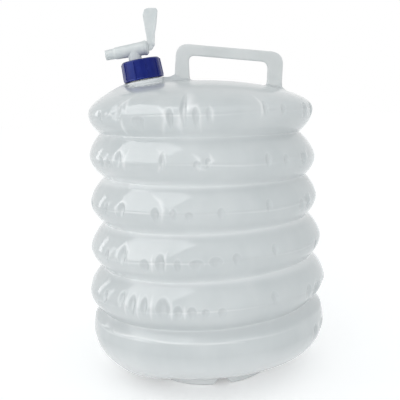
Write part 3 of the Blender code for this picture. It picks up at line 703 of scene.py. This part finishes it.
def grown(name, tree, values):
    """The mesh that a Geometry Nodes tree makes with these input values."""
    item = loose_item(name, bpy.data.meshes.new(name))
    modifier = item.modifiers.new(name, "NODES")
    modifier.node_group = tree
    sockets = {s.name: s.identifier for s in tree.interface.items_tree if s.in_out == "INPUT"}
    for label, value in values.items():
        modifier[sockets[label]] = value
    return evaluated_mesh(item)


def nodes_tree(name, inputs):
    """A Geometry Nodes tree with named inputs, and a wire for each of them."""
    group = bpy.data.node_groups.new(name, "GeometryNodeTree")
    kinds = {float: "NodeSocketFloat", int: "NodeSocketInt", bpy.types.Material: "NodeSocketMaterial"}
    for label, kind in inputs.items():
        group.interface.new_socket(label, in_out="INPUT", socket_type=kinds[kind])
    group.interface.new_socket("Geometry", in_out="OUTPUT", socket_type="NodeSocketGeometry")
    tree = Tree(group)
    first = tree.add("NodeGroupInput")
    return group, tree, {label: first.other(label) for label in inputs}


def close_tree(tree, shape, material):
    """Ends a Geometry Nodes tree in real geometry with its material."""
    real = tree.add("GeometryNodeRealizeInstances", [shape])
    done = tree.add("GeometryNodeSetMaterial", {"Geometry": real, "Material": material})
    tree.add("NodeGroupOutput", [done])


def lobe_inputs(lower, upper):
    """Named inputs for the two lobes that a fold lies between."""
    return {f"{side} lobe {label}": value for side, part in (("Lower", lower), ("Upper", upper))
            for label, value in zip(Lobe._fields, part)}


def bellows_tree():
    """One fold of the bottle: a wall that goes round between two crest planes, with its valley."""
    numbers = [float] * len(Lobe._fields)
    group, tree, given = nodes_tree("bellows_fold", {
        **lobe_inputs(numbers, numbers), "Bottom": float, "Fold height": float, "Steps round": int, "Rows": int,
        "Edge share": float, "Material": bpy.types.Material})
    sheet = tree.add("GeometryNodeMeshGrid", {
        "Size X": 1.0, "Size Y": 1.0, "Vertices X": given["Steps round"] + 1, "Vertices Y": given["Rows"] + 1})
    spot = tree.add("ShaderNodeSeparateXYZ", [tree.add("GeometryNodeInputPosition")])
    azimuth = spot * math.tau
    row, inner_rows, edge = (spot.other("Y") + 0.5) * given["Rows"], given["Rows"] - 2.0, given["Edge share"]
    share = clamped((row - 1.0) / inner_rows) * (1.0 - 2.0 * edge)
    share = share + edge * clamped(row) + edge * clamped(row - inner_rows - 1.0)
    height = given["Bottom"] + given["Fold height"] * share
    radius = outer_of(*(lobe_radius(azimuth, height, Lobe(*(given[f"{side} lobe {label}"] for label in Lobe._fields)))
                        for side in ("Lower", "Upper")))
    place = tree.add("ShaderNodeCombineXYZ", [sine(azimuth) * radius, -cosine(azimuth) * radius, height])
    bent = tree.add("GeometryNodeSetPosition", {"Geometry": sheet, "Position": place})
    closed = tree.add("GeometryNodeMergeByDistance", {"Geometry": bent, "Distance": MERGE_DISTANCE / 2.0})
    close_tree(tree, closed, given["Material"])
    return group


def hollow_painted_light(radius, height):
    """Painted light between two lobes, paler where shade falls below a crest, and dullness with painted shade on the
    upper flank over it.
    """
    crest = on_curve(height, [(part.height, part.radius) for part in LOBES])
    hollow = clamped((crest - radius) / HOLLOW_DEPTH) ** HOLLOW_BEND
    turn = (height - LOWEST_CREST_Z) / FOLD_PITCH * math.tau
    on_bowl = height <= LOWEST_CREST_Z
    underside = np.where(on_bowl, clamped((LOWEST_CREST_Z - height) / PAINTED_LIGHT_RUN), clamped(-np.sin(turn)))
    over = np.where(on_bowl, 0.0, clamped(OVER_GAIN * np.sin(turn)))
    # Painted light: paler in the shaded hollows and on the undersides, less on the lit upper flanks
    painted_light = PAINTED_HOLLOW_LIGHT * hollow * (1.0 - OVER_CUTS_PAINTED_LIGHT * over) + PAINTED_UNDERSIDE_LIGHT * underside
    return clamped(painted_light * on_curve(height, PAINTED_LIGHT_BY_HEIGHT)), OVER_DULLNESS_AND_SHADE * over * clamped(OVER_GAIN * hollow)


def mark_wall(mesh):
    """Presses the fold marks into a piece of the bottle and records its whitening, partly painted highlight, its
    painted light where shade falls, and its dullness with painted shade.
    """
    points = points_of(mesh)
    radius = np.hypot(points[:, 0], points[:, 1])
    depth, white, dull_and_shade = fold_marks(np.arctan2(points[:, 0], -points[:, 1]), points[:, 2])
    painted_light, dull_and_shade_hollow = hollow_painted_light(radius, points[:, 2])
    points[:, :2] *= (np.minimum(radius - depth, BODY_RADIUS - BOX_ROOM) / radius)[:, None]
    set_points(mesh, points)
    set_wall_marks(mesh, white, painted_light, clamped(dull_and_shade + dull_and_shade_hollow))
    mesh.shade_smooth()


def bellows():
    tree = bellows_tree()
    for index, body in enumerate(("base", "crest_2", "crest_3", "crest_4", "crest_5")):
        name, low = f"bellows_fold_{index + 1}", LOBES[index]
        mesh = grown(name, tree, {
            **lobe_inputs(low, LOBES[index + 1]), "Bottom": low.height, "Fold height": FOLD_PITCH,
            "Steps round": ROUND_STEPS, "Rows": FOLD_ROWS, "Edge share": EDGE_SHARE, "Material": BOTTLE})
        mark_wall(mesh)
        nodes = [f"fold_wall_{index + 1}"] + [f"crest_ring_{index + 1}"] * (index > 0)
        piece = new_piece(name, mesh, BOTTLE, body, *nodes)
        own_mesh(piece)


def row_shares(rows):
    """Even rows from 0 to 1, with a thin one at the start."""
    return np.concatenate([[0.0], EDGE_SHARE + (1.0 - EDGE_SHARE) * np.arange(rows) / (rows - 1)])[:, None]


def around(rows):
    azimuth = np.arange(ROUND_STEPS) / ROUND_STEPS * math.tau - math.pi
    return np.broadcast_to(azimuth, (rows, ROUND_STEPS))


def round_points(azimuth, radius, height):
    """Points from their angle from the front, radius and height."""
    return np.stack([radius * np.sin(azimuth), -radius * np.cos(azimuth), height], axis=-1)


def bowl_lift(azimuth, radius):
    """How far the bowl is pushed up in front."""
    share = share_of(radius, FOOT_EDGE_RADIUS, LIFT_END_RADIUS)
    lift = LIFT_HEIGHT * np.sin(math.pi * share ** LIFT_BEND)
    return lift * step(np.abs(np.degrees(azimuth) - LIFT_MIDDLE), LIFT_GONE, LIFT_FULL)


def foot():
    """Angles, radii and heights of the foot: six pads with notches between them, and the pinched-off weld."""
    azimuth = around(len(FOOT_OUTLINE))
    outline = np.array(FOOT_OUTLINE)
    radius, height = np.broadcast_to(outline[:, :1], azimuth.shape), outline[:, 1:]
    notch_turn = (np.degrees(azimuth) - NOTCH_MIDDLE + PAD_ARC / 2.0) % PAD_ARC - PAD_ARC / 2.0
    height = height + np.maximum(FOOT_HEIGHT - height, 0.0) * step(np.abs(notch_turn), NOTCH_GONE, NOTCH_FULL)
    weld = bell(radius * np.cos(azimuth), WELD_WIDTH) * step(radius, WELD_RADIUS, WELD_RADIUS - WELD_FADE)
    return azimuth, radius, height - WELD_HEIGHT * weld


def bowl():
    """Lower half of the lowest lobe, and the foot."""
    part = LOBES[0]
    azimuth = around(BOWL_ROWS + 1)
    height = part.height - (part.height - FOOT_HEIGHT) * np.sin(row_shares(BOWL_ROWS) * math.pi / 2.0)
    height = np.broadcast_to(height, azimuth.shape)
    middle = crest_height(azimuth, part)
    below = clamped((middle - height) / (middle - FOOT_HEIGHT))
    curve = FOOT_EDGE_RADIUS + (part.radius - FOOT_EDGE_RADIUS) * np.sqrt(1.0 - below ** 2)
    radius = np.where(height > middle, lobe_radius(azimuth, height, part), curve)
    depth, white, dull_and_shade = fold_marks(azimuth, height)
    depth = depth * step(height, *BOWL_MARKS)
    height = height + bowl_lift(azimuth, radius)
    radius = np.minimum(radius - depth, BODY_RADIUS - BOX_ROOM)
    white, dull_and_shade = (np.pad(marks, ((0, len(FOOT_OUTLINE)), (0, 0))) for marks in (white, dull_and_shade))
    azimuth, radius, height = (np.concatenate(pair) for pair in zip((azimuth, radius, height), foot()))
    points = round_points(azimuth, radius, height)
    mesh = mesh_of("bowl_and_foot", points, wall_faces(len(points) - 1, ROUND_STEPS)[:, ::-1])
    turn = np.degrees(azimuth)
    # Painted light: the bowl paler towards its shaded underside, more on the right, and the pads paler where contact
    # shade falls
    painted_light = PAINTED_BOWL_LIGHT + PAINTED_SIDE_LIGHT * step(turn, *PAINTED_SIDE_LIGHT_RISE) * step(turn, *PAINTED_SIDE_LIGHT_FALL)
    painted_light = painted_light * clamped((LOWEST_CREST_Z - height) / PAINTED_LIGHT_RUN) + PAINTED_PAD_LIGHT * step(height, *PAINTED_PAD_LIGHT_HEIGHTS)
    set_wall_marks(mesh, white, painted_light, dull_and_shade)
    clean_mesh(mesh, outward=False)
    new_piece("bowl_and_foot", mesh, BOTTLE, "base", "base_shell")


def ridge_between(across, beside, start, end, fall):
    """A soft ridge over the line from start to end along X: 1 on it, falling off round it."""
    past = np.maximum(np.maximum(start - across, across - end), 0.0)
    return bell(np.hypot(past, np.maximum(np.abs(beside) - RIDGE_WIDTH, 0.0)), fall)


def across_share(sideways):
    """1 in front of the neck and behind it, 0 beside it. sideways is the sine of the angle round the neck."""
    return step(np.abs(sideways), *ACROSS_SINES)


def shoulder_swell(across, beside):
    """Height of the swelling that carries the neck. It runs further out on the side of the spout."""
    far = np.hypot(across, beside)
    away = np.maximum(far, 0.001)
    near, sunk, long = (on_curve(far, curve) for curve in (SWELL_BESIDE, SWELL_ACROSS, SWELL_OUTSIDE))
    near = near + (sunk - near) * across_share(beside / away)
    return near + (long - near) * clamped(-across / away) ** 2


def dome():
    """Upper half of the top lobe, with the handle's roots and web swelling out of it."""
    part = LOBES[-1]
    azimuth = around(DOME_ROWS + 1)
    middle = crest_height(azimuth, part)
    start = part.height - middle
    rise = start + (DOME_HEIGHT - start) * np.sin(row_shares(DOME_ROWS) * math.pi / 2.0)
    lower = lobe_radius(azimuth, middle + rise, part)
    curve = part.radius * np.sqrt(1.0 - clamped(rise / DOME_HEIGHT) ** 2)
    radius = np.where(rise < DOME_LEAVES[1], lower, curve + (lower - curve) * step(rise, *DOME_LEAVES))
    radius[-1] = 0.0
    height = part.height + rise - start * clamped(radius / part.radius)
    depth, white, dull_and_shade = fold_marks(azimuth, middle + rise)
    fade = 1.0 - gentle_step(rise, *DOME_PLAIN)
    radius = np.where(radius > MARKED_RADIUS, radius - depth * fade, radius)
    across, beside = radius * np.sin(azimuth), -radius * np.cos(azimuth)
    rim = NECK_PLACE - Vector((-math.sin(NECK_LEAN), 0.0, math.cos(NECK_LEAN))) * NECK_STAND
    swell = shoulder_swell(across - rim.x, beside)
    tilt = DOME_TILT * np.clip(-across / DOME_TILT_REACH, -1.0, 1.0)
    height = height + gentle_step(rise, *DOME_FLAT) * (swell + tilt)
    for low, high, tall, fall in DOME_RIDGES:
        height = height + tall * ridge_between(across, beside, low, high, fall) * step(rise, *RIDGE_RISE)
    faces = wall_faces(DOME_ROWS, ROUND_STEPS)
    inside = (np.hypot(across - rim.x, beside).ravel()[faces] < NECK_OPENING).all(axis=1)
    mesh = mesh_of("dome", np.stack([across, beside, height], axis=-1), faces[~inside])
    # Painted light on the swelling round the neck; dullness with painted shade on the dome's top
    set_wall_marks(mesh, white * fade, PAINTED_SWELL_LIGHT * clamped(swell / PAINTED_SWELL_LIGHT_HEIGHT),
                   np.maximum(dull_and_shade * fade, TOP_DULLNESS_AND_SHADE * gentle_step(rise, *DOME_DULL_AND_SHADE)))
    clean_mesh(mesh, outward=False)
    new_piece("dome", mesh, BOTTLE, "top", "top_shell")


# Turned and moulded pieces. Outlines are corners as (radius, height) or (radius, height, fillet).

def filleted(corners, arc_points=5):
    """Outline points from corners, with an arc at each corner that has a fillet."""
    result = []
    for i, (x, z, *fillet) in enumerate(corners):
        if not fillet:
            result.append((x, z))
            continue
        here = Vector((x, z))
        before = Vector(corners[i - 1][:2]) - here
        after = Vector(corners[(i + 1) % len(corners)][:2]) - here
        run = min(fillet[0] / math.tan(before.angle(after) / 2.0), before.length * 0.49, after.length * 0.49)
        first, last = here + before.normalized() * run, here + after.normalized() * run
        for k in range(arc_points + 1):
            share = k / arc_points
            point = first * (1 - share) ** 2 + here * 2 * share * (1 - share) + last * share ** 2
            result.append((point.x, point.y))
    return result


def turned(name, outline, steps, place=None, closed=False, shift=None):
    """A turned mesh from its outline. shift changes the radius over angle and height."""
    ring = np.array(outline)
    angle = np.arange(steps) / steps * math.tau
    radius, height = np.repeat(ring[:, :1], steps, axis=1), np.repeat(ring[:, 1:], steps, axis=1)
    if shift is not None:
        radius = radius + shift(angle[None, :], height, radius)
    points = np.stack([radius * np.cos(angle), radius * np.sin(angle), height], axis=-1)
    faces = wall_faces(len(ring) if closed else len(ring) - 1, steps) % (len(ring) * steps)
    mesh = clean_mesh(mesh_of(name, points, faces))
    if place is not None:
        mesh.transform(place)
    return mesh


def rod(name, radius, low, high, steps, place):
    """A plain round rod, to join on or to cut with."""
    return turned(name, [(0.0, low), (radius, low), (radius, high), (0.0, high)], steps, place)


def neck_frame(across=0.0, along=0.0):
    turn = Matrix.Rotation(-NECK_LEAN, 4, "Y")
    return Matrix.Translation(NECK_PLACE) @ turn @ Matrix.Translation((across, 0.0, along))


def barrel_frame():
    return neck_frame(-STEM_OFFSET, BARREL_HEIGHT) @ Matrix.Rotation(math.radians(90), 4, "Y")


def thread_ridge(start, turns, side, wall):
    """Radius change of a thread on the wall at one radius. side is 1 outward and -1 inward."""
    def shift(angle, height, radius):
        best = np.zeros(height.shape)
        for lap in range(math.ceil(turns) + 1):
            turn = angle / math.tau + lap
            ridge = step(np.abs(height - start - THREAD_PITCH * turn), THREAD_ROOT / 2.0, THREAD_CREST / 2.0)
            best = np.maximum(best, ridge * clamped(np.minimum(turn, turns - turn) * THREAD_FADE))
        return side * THREAD_DEPTH * best * (np.abs(radius - wall) < ON_WALL)
    return shift


def fine_line(start, end, length):
    """Points along a line, each about a length below or above the last."""
    count = max(1, round(abs(end[1] - start[1]) / length))
    return [(start[0] + (end[0] - start[0]) * i / count, start[1] + (end[1] - start[1]) * i / count)
            for i in range(count + 1)]


def neck():
    """Threaded neck and its collar, flaring out into the dome."""
    bore, top = NECK_BORE_RADIUS, NECK_HEIGHT
    band_low, groove = -COLLAR_DROP - COLLAR_BAND, COLLAR_RADIUS - COLLAR_GROOVE
    lip = [(bore, top - 0.001), (bore + 0.0004, top - 0.0002), (bore + 0.0010, top), (NECK_RADIUS - 0.0008, top),
           (NECK_RADIUS - 0.0002, top - 0.0003)]
    wall = fine_line((NECK_RADIUS, top - 0.0010), (NECK_RADIUS, -COLLAR_DROP), WALL_STEP)
    collar = filleted([(NECK_RADIUS, -COLLAR_DROP), (COLLAR_RADIUS, -COLLAR_DROP, 0.0009),
                       (COLLAR_RADIUS, band_low + 0.0006, 0.0006), (groove, band_low + 0.0001, 0.0004),
                       (groove, band_low - 0.0003, 0.0004), (0.0232, -0.0057)])
    skirt = fine_line(SKIRT_START, SKIRT_END, WALL_STEP * 0.9)
    skirt += [(0.0357, -0.0081), (0.0360, -0.0086), (0.0360, NECK_ROOT), (0.0350, NECK_ROOT)]
    mesh = turned("neck_and_collar", [(bore, NECK_ROOT)] + lip + wall + collar[1:] + skirt, NECK_STEPS,
                  closed=True, shift=thread_ridge(THREAD_START, NECK_TURNS, 1.0, NECK_RADIUS))
    points = points_of(mesh)
    far = np.hypot(points[:, 0], points[:, 1])
    moat = across_share(points[:, 1] / far) * share_of(far, MOAT_END, MOAT_START) * (far > MOAT_INSIDE)
    points[:, 2] -= MOAT_DEPTH * moat * step(points[:, 2], band_low + 0.0003, band_low - 0.0003)
    set_points(mesh, points)
    mesh.transform(neck_frame())
    on_collar = far < SKIRT_START[0]
    # Painted light on the collar band; dullness with painted shade, more on the skirt below it
    set_wall_marks(mesh, np.zeros(len(far)), np.where(on_collar, *PAINTED_COLLAR_LIGHT), np.where(on_collar, *COLLAR_DULLNESS_AND_SHADE))
    new_piece("neck_and_collar", mesh, BOTTLE, "top", "threaded_neck", sharp=40.0)


def changed(mesh, other, operation):
    """The exact union or difference of two closed meshes."""
    item, tool = loose_item(mesh.name, mesh), loose_item(other.name, other)
    cut = item.modifiers.new("cut", "BOOLEAN")
    cut.operation = operation
    cut.solver = "EXACT"
    cut.object = tool
    result = evaluated_mesh(item)
    bpy.data.objects.remove(tool, do_unlink=True)
    return result


def cap_shell():
    top, flare = CAP_OUTER_RADIUS - CAP_TAPER, CAP_OUTER_RADIUS + CAP_FLARE
    outer = filleted([(0.0, CAP_HEIGHT), (top - 0.0020, CAP_HEIGHT, 0.0010),
                      (top - 0.0012, CAP_HEIGHT - 0.0003, 0.0006), (top, CAP_HEIGHT - 0.0014, 0.0012),
                      (CAP_OUTER_RADIUS, CAP_FLARE_HEIGHT, 0.0008), (flare, 0.0010, 0.0006), (flare, 0.0, 0.0004),
                      (CAP_INNER_RADIUS, 0.0)])
    inner = fine_line((CAP_INNER_RADIUS, 0.0), (CAP_INNER_RADIUS, CAP_CEILING), WALL_STEP) + [(0.0, CAP_CEILING)]
    thread = thread_ridge(THREAD_START - THREAD_PITCH / 2.0 + GAP, CAP_TURNS, -1.0, CAP_INNER_RADIUS)
    hole = rod("stem_hole", STEM_WAIST_RADIUS + GAP, NECK_HEIGHT, CAP_HEIGHT + OVERRUN, TAP_STEPS,
               Matrix.Translation((-STEM_OFFSET, 0.0, 0.0)))
    mesh = changed(turned("cap_shell", outer + inner[1:], CAP_STEPS, shift=thread), hole, "DIFFERENCE")
    mesh.transform(neck_frame())
    new_piece("cap_shell", mesh, CAP, "cap", "screw_cap", sharp=38.0)


def grip_rib_tree():
    """Upright ribs set round the cap, each a rounded bar that thins out at its ends."""
    group, tree, given = nodes_tree("grip_ribs", {
        "Count": int, "Lower radius": float, "Upper radius": float, "Low": float, "High": float, "Half width": float,
        "Material": bpy.types.Material})
    low = tree.add("ShaderNodeCombineXYZ", [given["Lower radius"], 0.0, given["Low"]])
    high = tree.add("ShaderNodeCombineXYZ", [given["Upper radius"], 0.0, given["High"]])
    line = tree.add("GeometryNodeCurvePrimitiveLine", {"Start": low, "End": high})
    line = tree.add("GeometryNodeResampleCurve", {"Curve": line, "Count": RIB_POINTS})
    along = tree.add("GeometryNodeSplineParameter") * 2.0 - 1.0
    taper = clamped(root(1.0 - along * along * RIB_TAPER[0]) * RIB_TAPER[1])
    swept = tree.add("GeometryNodeSetCurveRadius", {"Curve": line, "Radius": taper})
    round_bar = tree.add("GeometryNodeCurvePrimitiveCircle", {"Resolution": RIB_SIDES, "Radius": given["Half width"]})
    bar = tree.add("GeometryNodeCurveToMesh", {"Curve": swept, "Profile Curve": round_bar, "Fill Caps": True})
    ring = tree.add("GeometryNodeMeshCircle", {"Vertices": given["Count"], "Radius": 0.0001})
    turn = tree.add("GeometryNodeInputIndex") * math.tau / given["Count"]
    turn = tree.add("ShaderNodeCombineXYZ", [0.0, 0.0, turn])
    ribs = tree.add("GeometryNodeInstanceOnPoints", {"Points": ring, "Instance": bar, "Rotation": turn})
    close_tree(tree, tree.add("GeometryNodeSetShadeSmooth", [ribs]), given["Material"])
    return group


def cap_ribs():
    mesh = grown("cap_grip_ribs", grip_rib_tree(), {
        "Count": GRIP_RIBS, "Lower radius": CAP_OUTER_RADIUS - 0.0001, "Upper radius": CAP_OUTER_RADIUS - CAP_TAPER,
        "Low": RIB_LOW, "High": CAP_HEIGHT - RIB_DROP, "Half width": RIB_HALF_WIDTH, "Material": CAP})
    mesh.transform(neck_frame())
    new_piece("cap_grip_ribs", mesh, CAP, "cap")


def moulded(mesh):
    """A closed mesh with its inner corners filled and its edges eased, as they come from a mould."""
    item = loose_item(mesh.name, mesh)
    remesh = item.modifiers.new("even", "REMESH")
    remesh.mode = "VOXEL"
    remesh.voxel_size = MOULD_VOXEL
    ease = item.modifiers.new("ease", "SMOOTH")
    ease.factor = 0.5
    ease.iterations = MOULD_ROUNDS
    result = evaluated_mesh(item)
    result.shade_smooth()
    return result


def tap_barrel():
    """Barrel with its step and spout, stem and inner flange, and the bores through them."""
    mesh = turned("tap_barrel", filleted([
        (0.0, BARREL_END), (BARREL_RADIUS, BARREL_END, 0.0006), (BARREL_STEP_RADIUS, -BARREL_STEP, 0.0007),
        (SPOUT_RADIUS, -BARREL_STEP - STEP_RUN, 0.0007), (SPOUT_END_RADIUS, -SPOUT_REACH, 0.0005),
        (0.0, -SPOUT_REACH)]), TAP_STEPS, barrel_frame())
    upright, low, waist, ceiling = neck_frame(-STEM_OFFSET), NECK_HEIGHT + GAP, CAP_HEIGHT + GAP, CAP_CEILING - GAP
    stem = turned("tap_stem", [
        (0.0, BARREL_HEIGHT), (STEM_RADIUS, BARREL_HEIGHT), (STEM_RADIUS, waist), (STEM_WAIST_RADIUS, waist),
        (STEM_WAIST_RADIUS, ceiling), (FLANGE_RADIUS, ceiling), (FLANGE_RADIUS, low), (0.0, low)],
        TAP_STEPS, upright)
    mesh = changed(mesh, stem, "UNION")
    for name, radius, start, end, place in (
            ("plug_bore", PLUG_BORE_RADIUS, BARREL_END + OVERRUN, -PLUG_SEAT, barrel_frame()),
            ("spout_bore", SPOUT_BORE_RADIUS, 0.0, -SPOUT_REACH - OVERRUN, barrel_frame()),
            ("stem_bore", STEM_BORE_RADIUS, BARREL_HEIGHT, low - OVERRUN, upright)):
        mesh = changed(mesh, rod(name, radius, start, end, BORE_STEPS, place), "DIFFERENCE")
    new_piece("tap_barrel", moulded(mesh), TAP, "tap", "tap_body")


def plate(name, outline, thickness, place):
    """A flat plate in the XZ plane of a frame, from its outline."""
    count = len(outline)
    points = [(x, side * thickness / 2.0, z) for side in (-1.0, 1.0) for x, z in outline]
    faces = [tuple(range(count)), tuple(range(2 * count - 1, count - 1, -1))]
    faces += [(i, (i + 1) % count, (i + 1) % count + count, i + count) for i in range(count)]
    mesh = clean_mesh(mesh_of(name, np.array(points), faces, smooth=False))
    mesh.transform(place)
    return mesh


def tap_paddle():
    """Lever of the tap: hub, plug and the paddle with its thick outer rib."""
    hub_end, neck_radius, start = HUB_START + HUB_LENGTH, HUB_RADIUS - 0.0004, HUB_START + 0.0004
    hub = turned("tap_paddle", filleted([
        (0.0, hub_end), (HUB_RADIUS * 0.7, hub_end, 0.0010), (neck_radius, HUB_START + 0.0022, 0.0012),
        (neck_radius, start), (PLUG_RADIUS, start), (PLUG_RADIUS, -PLUG_SEAT + GAP), (0.0, -PLUG_SEAT + GAP)]),
        TAP_STEPS, barrel_frame())
    lap = turned("hub_lap", filleted([
        (HUB_RADIUS - 0.0010, HUB_START + 0.0024), (HUB_RADIUS - 0.0002, HUB_START + 0.0022, 0.0002),
        (HUB_RADIUS + 0.0001, HUB_START - 0.0004, 0.0003), (BARREL_RADIUS + 0.0001, HUB_START - 0.0012, 0.0001),
        (BARREL_RADIUS + 0.00006, HUB_START), (PLUG_RADIUS - 0.0002, HUB_START),
        (PLUG_RADIUS - 0.0002, HUB_START + 0.0024)]), LAP_STEPS, barrel_frame(), closed=True)
    place = neck_frame(-STEM_OFFSET, BARREL_HEIGHT)
    outline = filleted([(x, z, LEVER_CORNER) for x, z in LEVER_INNER + LEVER_OUTER + LEVER_ROOT])
    strip = [(x, z, LEVER_RIB_CORNER) for x, z in LEVER_OUTER]
    strip += [(x - LEVER_RIB_WIDTH, z, corner) for x, z, corner in reversed(strip)]
    mesh = changed(hub, plate("paddle", outline, LEVER_THICKNESS, place), "UNION")
    mesh = changed(mesh, plate("paddle_rib", filleted(strip), LEVER_RIB_THICKNESS, place), "UNION")
    new_piece("tap_paddle", changed(moulded(mesh), lap, "UNION"), TAP, "lever", "tap_lever", sharp=45.0)


# Carry handle

def even_points(first, corners, last, count):
    """Points at even distances along an outline of points, filleted corners and points again."""
    points = np.array([*first, *filleted(corners, 14), *last])
    far = np.concatenate([[0.0], np.cumsum(np.hypot(*np.diff(points, axis=0).T))])
    wanted = np.linspace(0.0, far[-1], count)
    return np.stack([np.interp(wanted, far, points[:, 0]), np.interp(wanted, far, points[:, 1])], axis=-1)


def carry_handle():
    """Flat loop handle, lofted between its outer and inner outlines, with roots that swell into the dome."""
    stations, count = HANDLE_STATIONS, HANDLE_EDGE_POINTS
    outer, inner = even_points(*HANDLE_OUTER, stations), even_points(*HANDLE_INNER, stations)
    ring = np.arange(count) / count * math.tau
    wide = np.sign(np.cos(ring)) * np.abs(np.cos(ring)) ** HANDLE_SQUARENESS
    thick = np.sign(np.sin(ring)) * np.abs(np.sin(ring)) ** (HANDLE_SQUARENESS * 1.4)
    middle, half = (outer + inner) / 2.0, (outer - inner) / 2.0
    top = LOBES[-1]
    dome_level = top.height + DOME_HEIGHT * np.sqrt(clamped(1.0 - (middle[:, 0] / top.radius) ** 2))
    over = np.maximum(middle[:, 1] - dome_level, 0.0)
    thickness = HANDLE_THICKNESS * (1.0 + HANDLE_SWELL * np.exp(-over / HANDLE_SWELL_HEIGHT))
    points = np.stack([middle[:, :1] + half[:, :1] * wide, thickness[:, None] / 2.0 * thick,
                       middle[:, 1:] + half[:, 1:] * wide], axis=-1)
    ends = [tuple(range(count)), tuple(range(stations * count - 1, (stations - 1) * count - 1, -1))]
    mesh = clean_mesh(mesh_of("loop_handle", points, wall_faces(stations - 1, count).tolist() + ends))
    mesh.shade_smooth()
    new_piece("loop_handle", mesh, HANDLE, "top", "carry_handle")


# Stage, lights and camera

FLOOR_RADIUS = 9.0
FLOOR_DROP = 0.0002
FLOOR_GLOW = 0.28
LIGHT_TARGET = Vector((0.0, 0.0, 0.20))
# Softboxes: azimuth from the front and elevation in degrees, distance, width, height and power in watts
SOFTBOXES = {
    "key_softbox": (-67.0, 36.0, 2.0, 2.0, 2.5, 46.0),
    "front_softbox": (-18.0, 36.0, 2.3, 1.1, 2.6, 7.0),
    "side_softbox": (33.0, 36.0, 2.2, 1.5, 2.0, 5.5),
    "back_strip": (-124.0, 8.0, 2.0, 0.22, 0.75, 0.9),
    "left_strip": (-107.0, 8.0, 2.0, 0.18, 0.75, 0.8),
    "room_light": (-18.0, 7.0, 2.4, 1.6, 1.6, 14.0)}
CAMERA_PLACE = (-0.00434, -0.76508, 0.3145)
CAMERA_PITCH, CAMERA_ROLL = math.radians(8.68), math.radians(2.45)
CAMERA_LENS, CAMERA_SENSOR, CAMERA_NEAREST = 59.55, 36.0, 0.02


def seen_rays(tree):
    """1 for the rays from the camera and for mirrored ones, 0 for diffuse light."""
    paths = tree.add("ShaderNodeLightPath")
    return clamped(paths.other("Is Camera Ray") + paths.other("Is Glossy Ray") + paths.other("Is Transmission Ray"))


def floor():
    material, tree = finish("pale_floor")
    plain = tree.add("ShaderNodeBsdfPrincipled", {"Base Color": (0.93, 0.93, 0.93, 1.0), "Roughness": 0.9,
                                                  "Specular IOR Level": 0.0})
    glow = tree.add("ShaderNodeEmission", {"Color": (1.0, 1.0, 1.0, 1.0), "Strength": seen_rays(tree) * FLOOR_GLOW})
    tree.add("ShaderNodeOutputMaterial", [tree.add("ShaderNodeAddShader", [plain, glow])])
    shape = bmesh.new()
    bmesh.ops.create_circle(shape, cap_ends=True, segments=96, radius=FLOOR_RADIUS)
    mesh = bpy.data.meshes.new("floor")
    shape.to_mesh(mesh)
    shape.free()
    mesh.transform(Matrix.Translation((0.0, 0.0, -FLOOR_DROP)))
    mesh.materials.append(material)
    loose_item("floor", mesh)


def studio():
    """A white backdrop for the camera and the gloss, and a greyer room that lights the plastic."""
    world = bpy.data.worlds.new("studio")
    bpy.context.scene.world = world
    world.use_nodes = True
    world.node_tree.nodes.clear()
    tree = Tree(world.node_tree)
    room = tree.add("ShaderNodeBackground", {"Color": (0.97, 0.99, 1.0, 1.0), "Strength": 0.80})
    backdrop = tree.add("ShaderNodeBackground", {"Color": (1.0, 1.0, 1.0, 1.0), "Strength": 1.0})
    tree.add("ShaderNodeOutputWorld", [tree.add("ShaderNodeMixShader", [seen_rays(tree), room, backdrop])])


def lights():
    """Soft lights that face the bottle. Only the room light is diffuse, and the others show only in the gloss."""
    for name, (azimuth, elevation, distance, width, height, watts) in SOFTBOXES.items():
        lamp = bpy.data.lights.new(name, "AREA")
        lamp.shape = "RECTANGLE"
        lamp.size, lamp.size_y = width, height
        lamp.energy = watts
        item = loose_item(name, lamp)
        turn, up = math.radians(azimuth), math.radians(elevation)
        away = Vector((math.sin(turn) * math.cos(up), -math.cos(turn) * math.cos(up), math.sin(up)))
        item.location = LIGHT_TARGET + away * distance
        item.rotation_euler = away.to_track_quat("Z", "Y").to_euler()
        item.visible_camera = False
        item.visible_diffuse = name == "room_light"
        item.visible_glossy = name != "room_light"


def camera():
    lens = bpy.data.cameras.new("camera")
    lens.sensor_width = CAMERA_SENSOR
    lens.lens = CAMERA_LENS
    lens.clip_start = CAMERA_NEAREST
    item = loose_item("camera", lens)
    turn = Matrix.Rotation(math.pi / 2.0 - CAMERA_PITCH, 4, "X") @ Matrix.Rotation(-CAMERA_ROLL, 4, "Z")
    item.matrix_world = Matrix.Translation(CAMERA_PLACE) @ turn
    bpy.context.scene.camera = item


def washer():
    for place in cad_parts["seal_washer"].material_slots:
        place.material = RUBBER


bpy.context.scene.view_settings.view_transform = "Standard"
for make in (camera, floor, studio, lights, bowl, bellows, dome, neck, carry_handle, cap_shell, cap_ribs, tap_barrel,
             tap_paddle, washer):
    make()
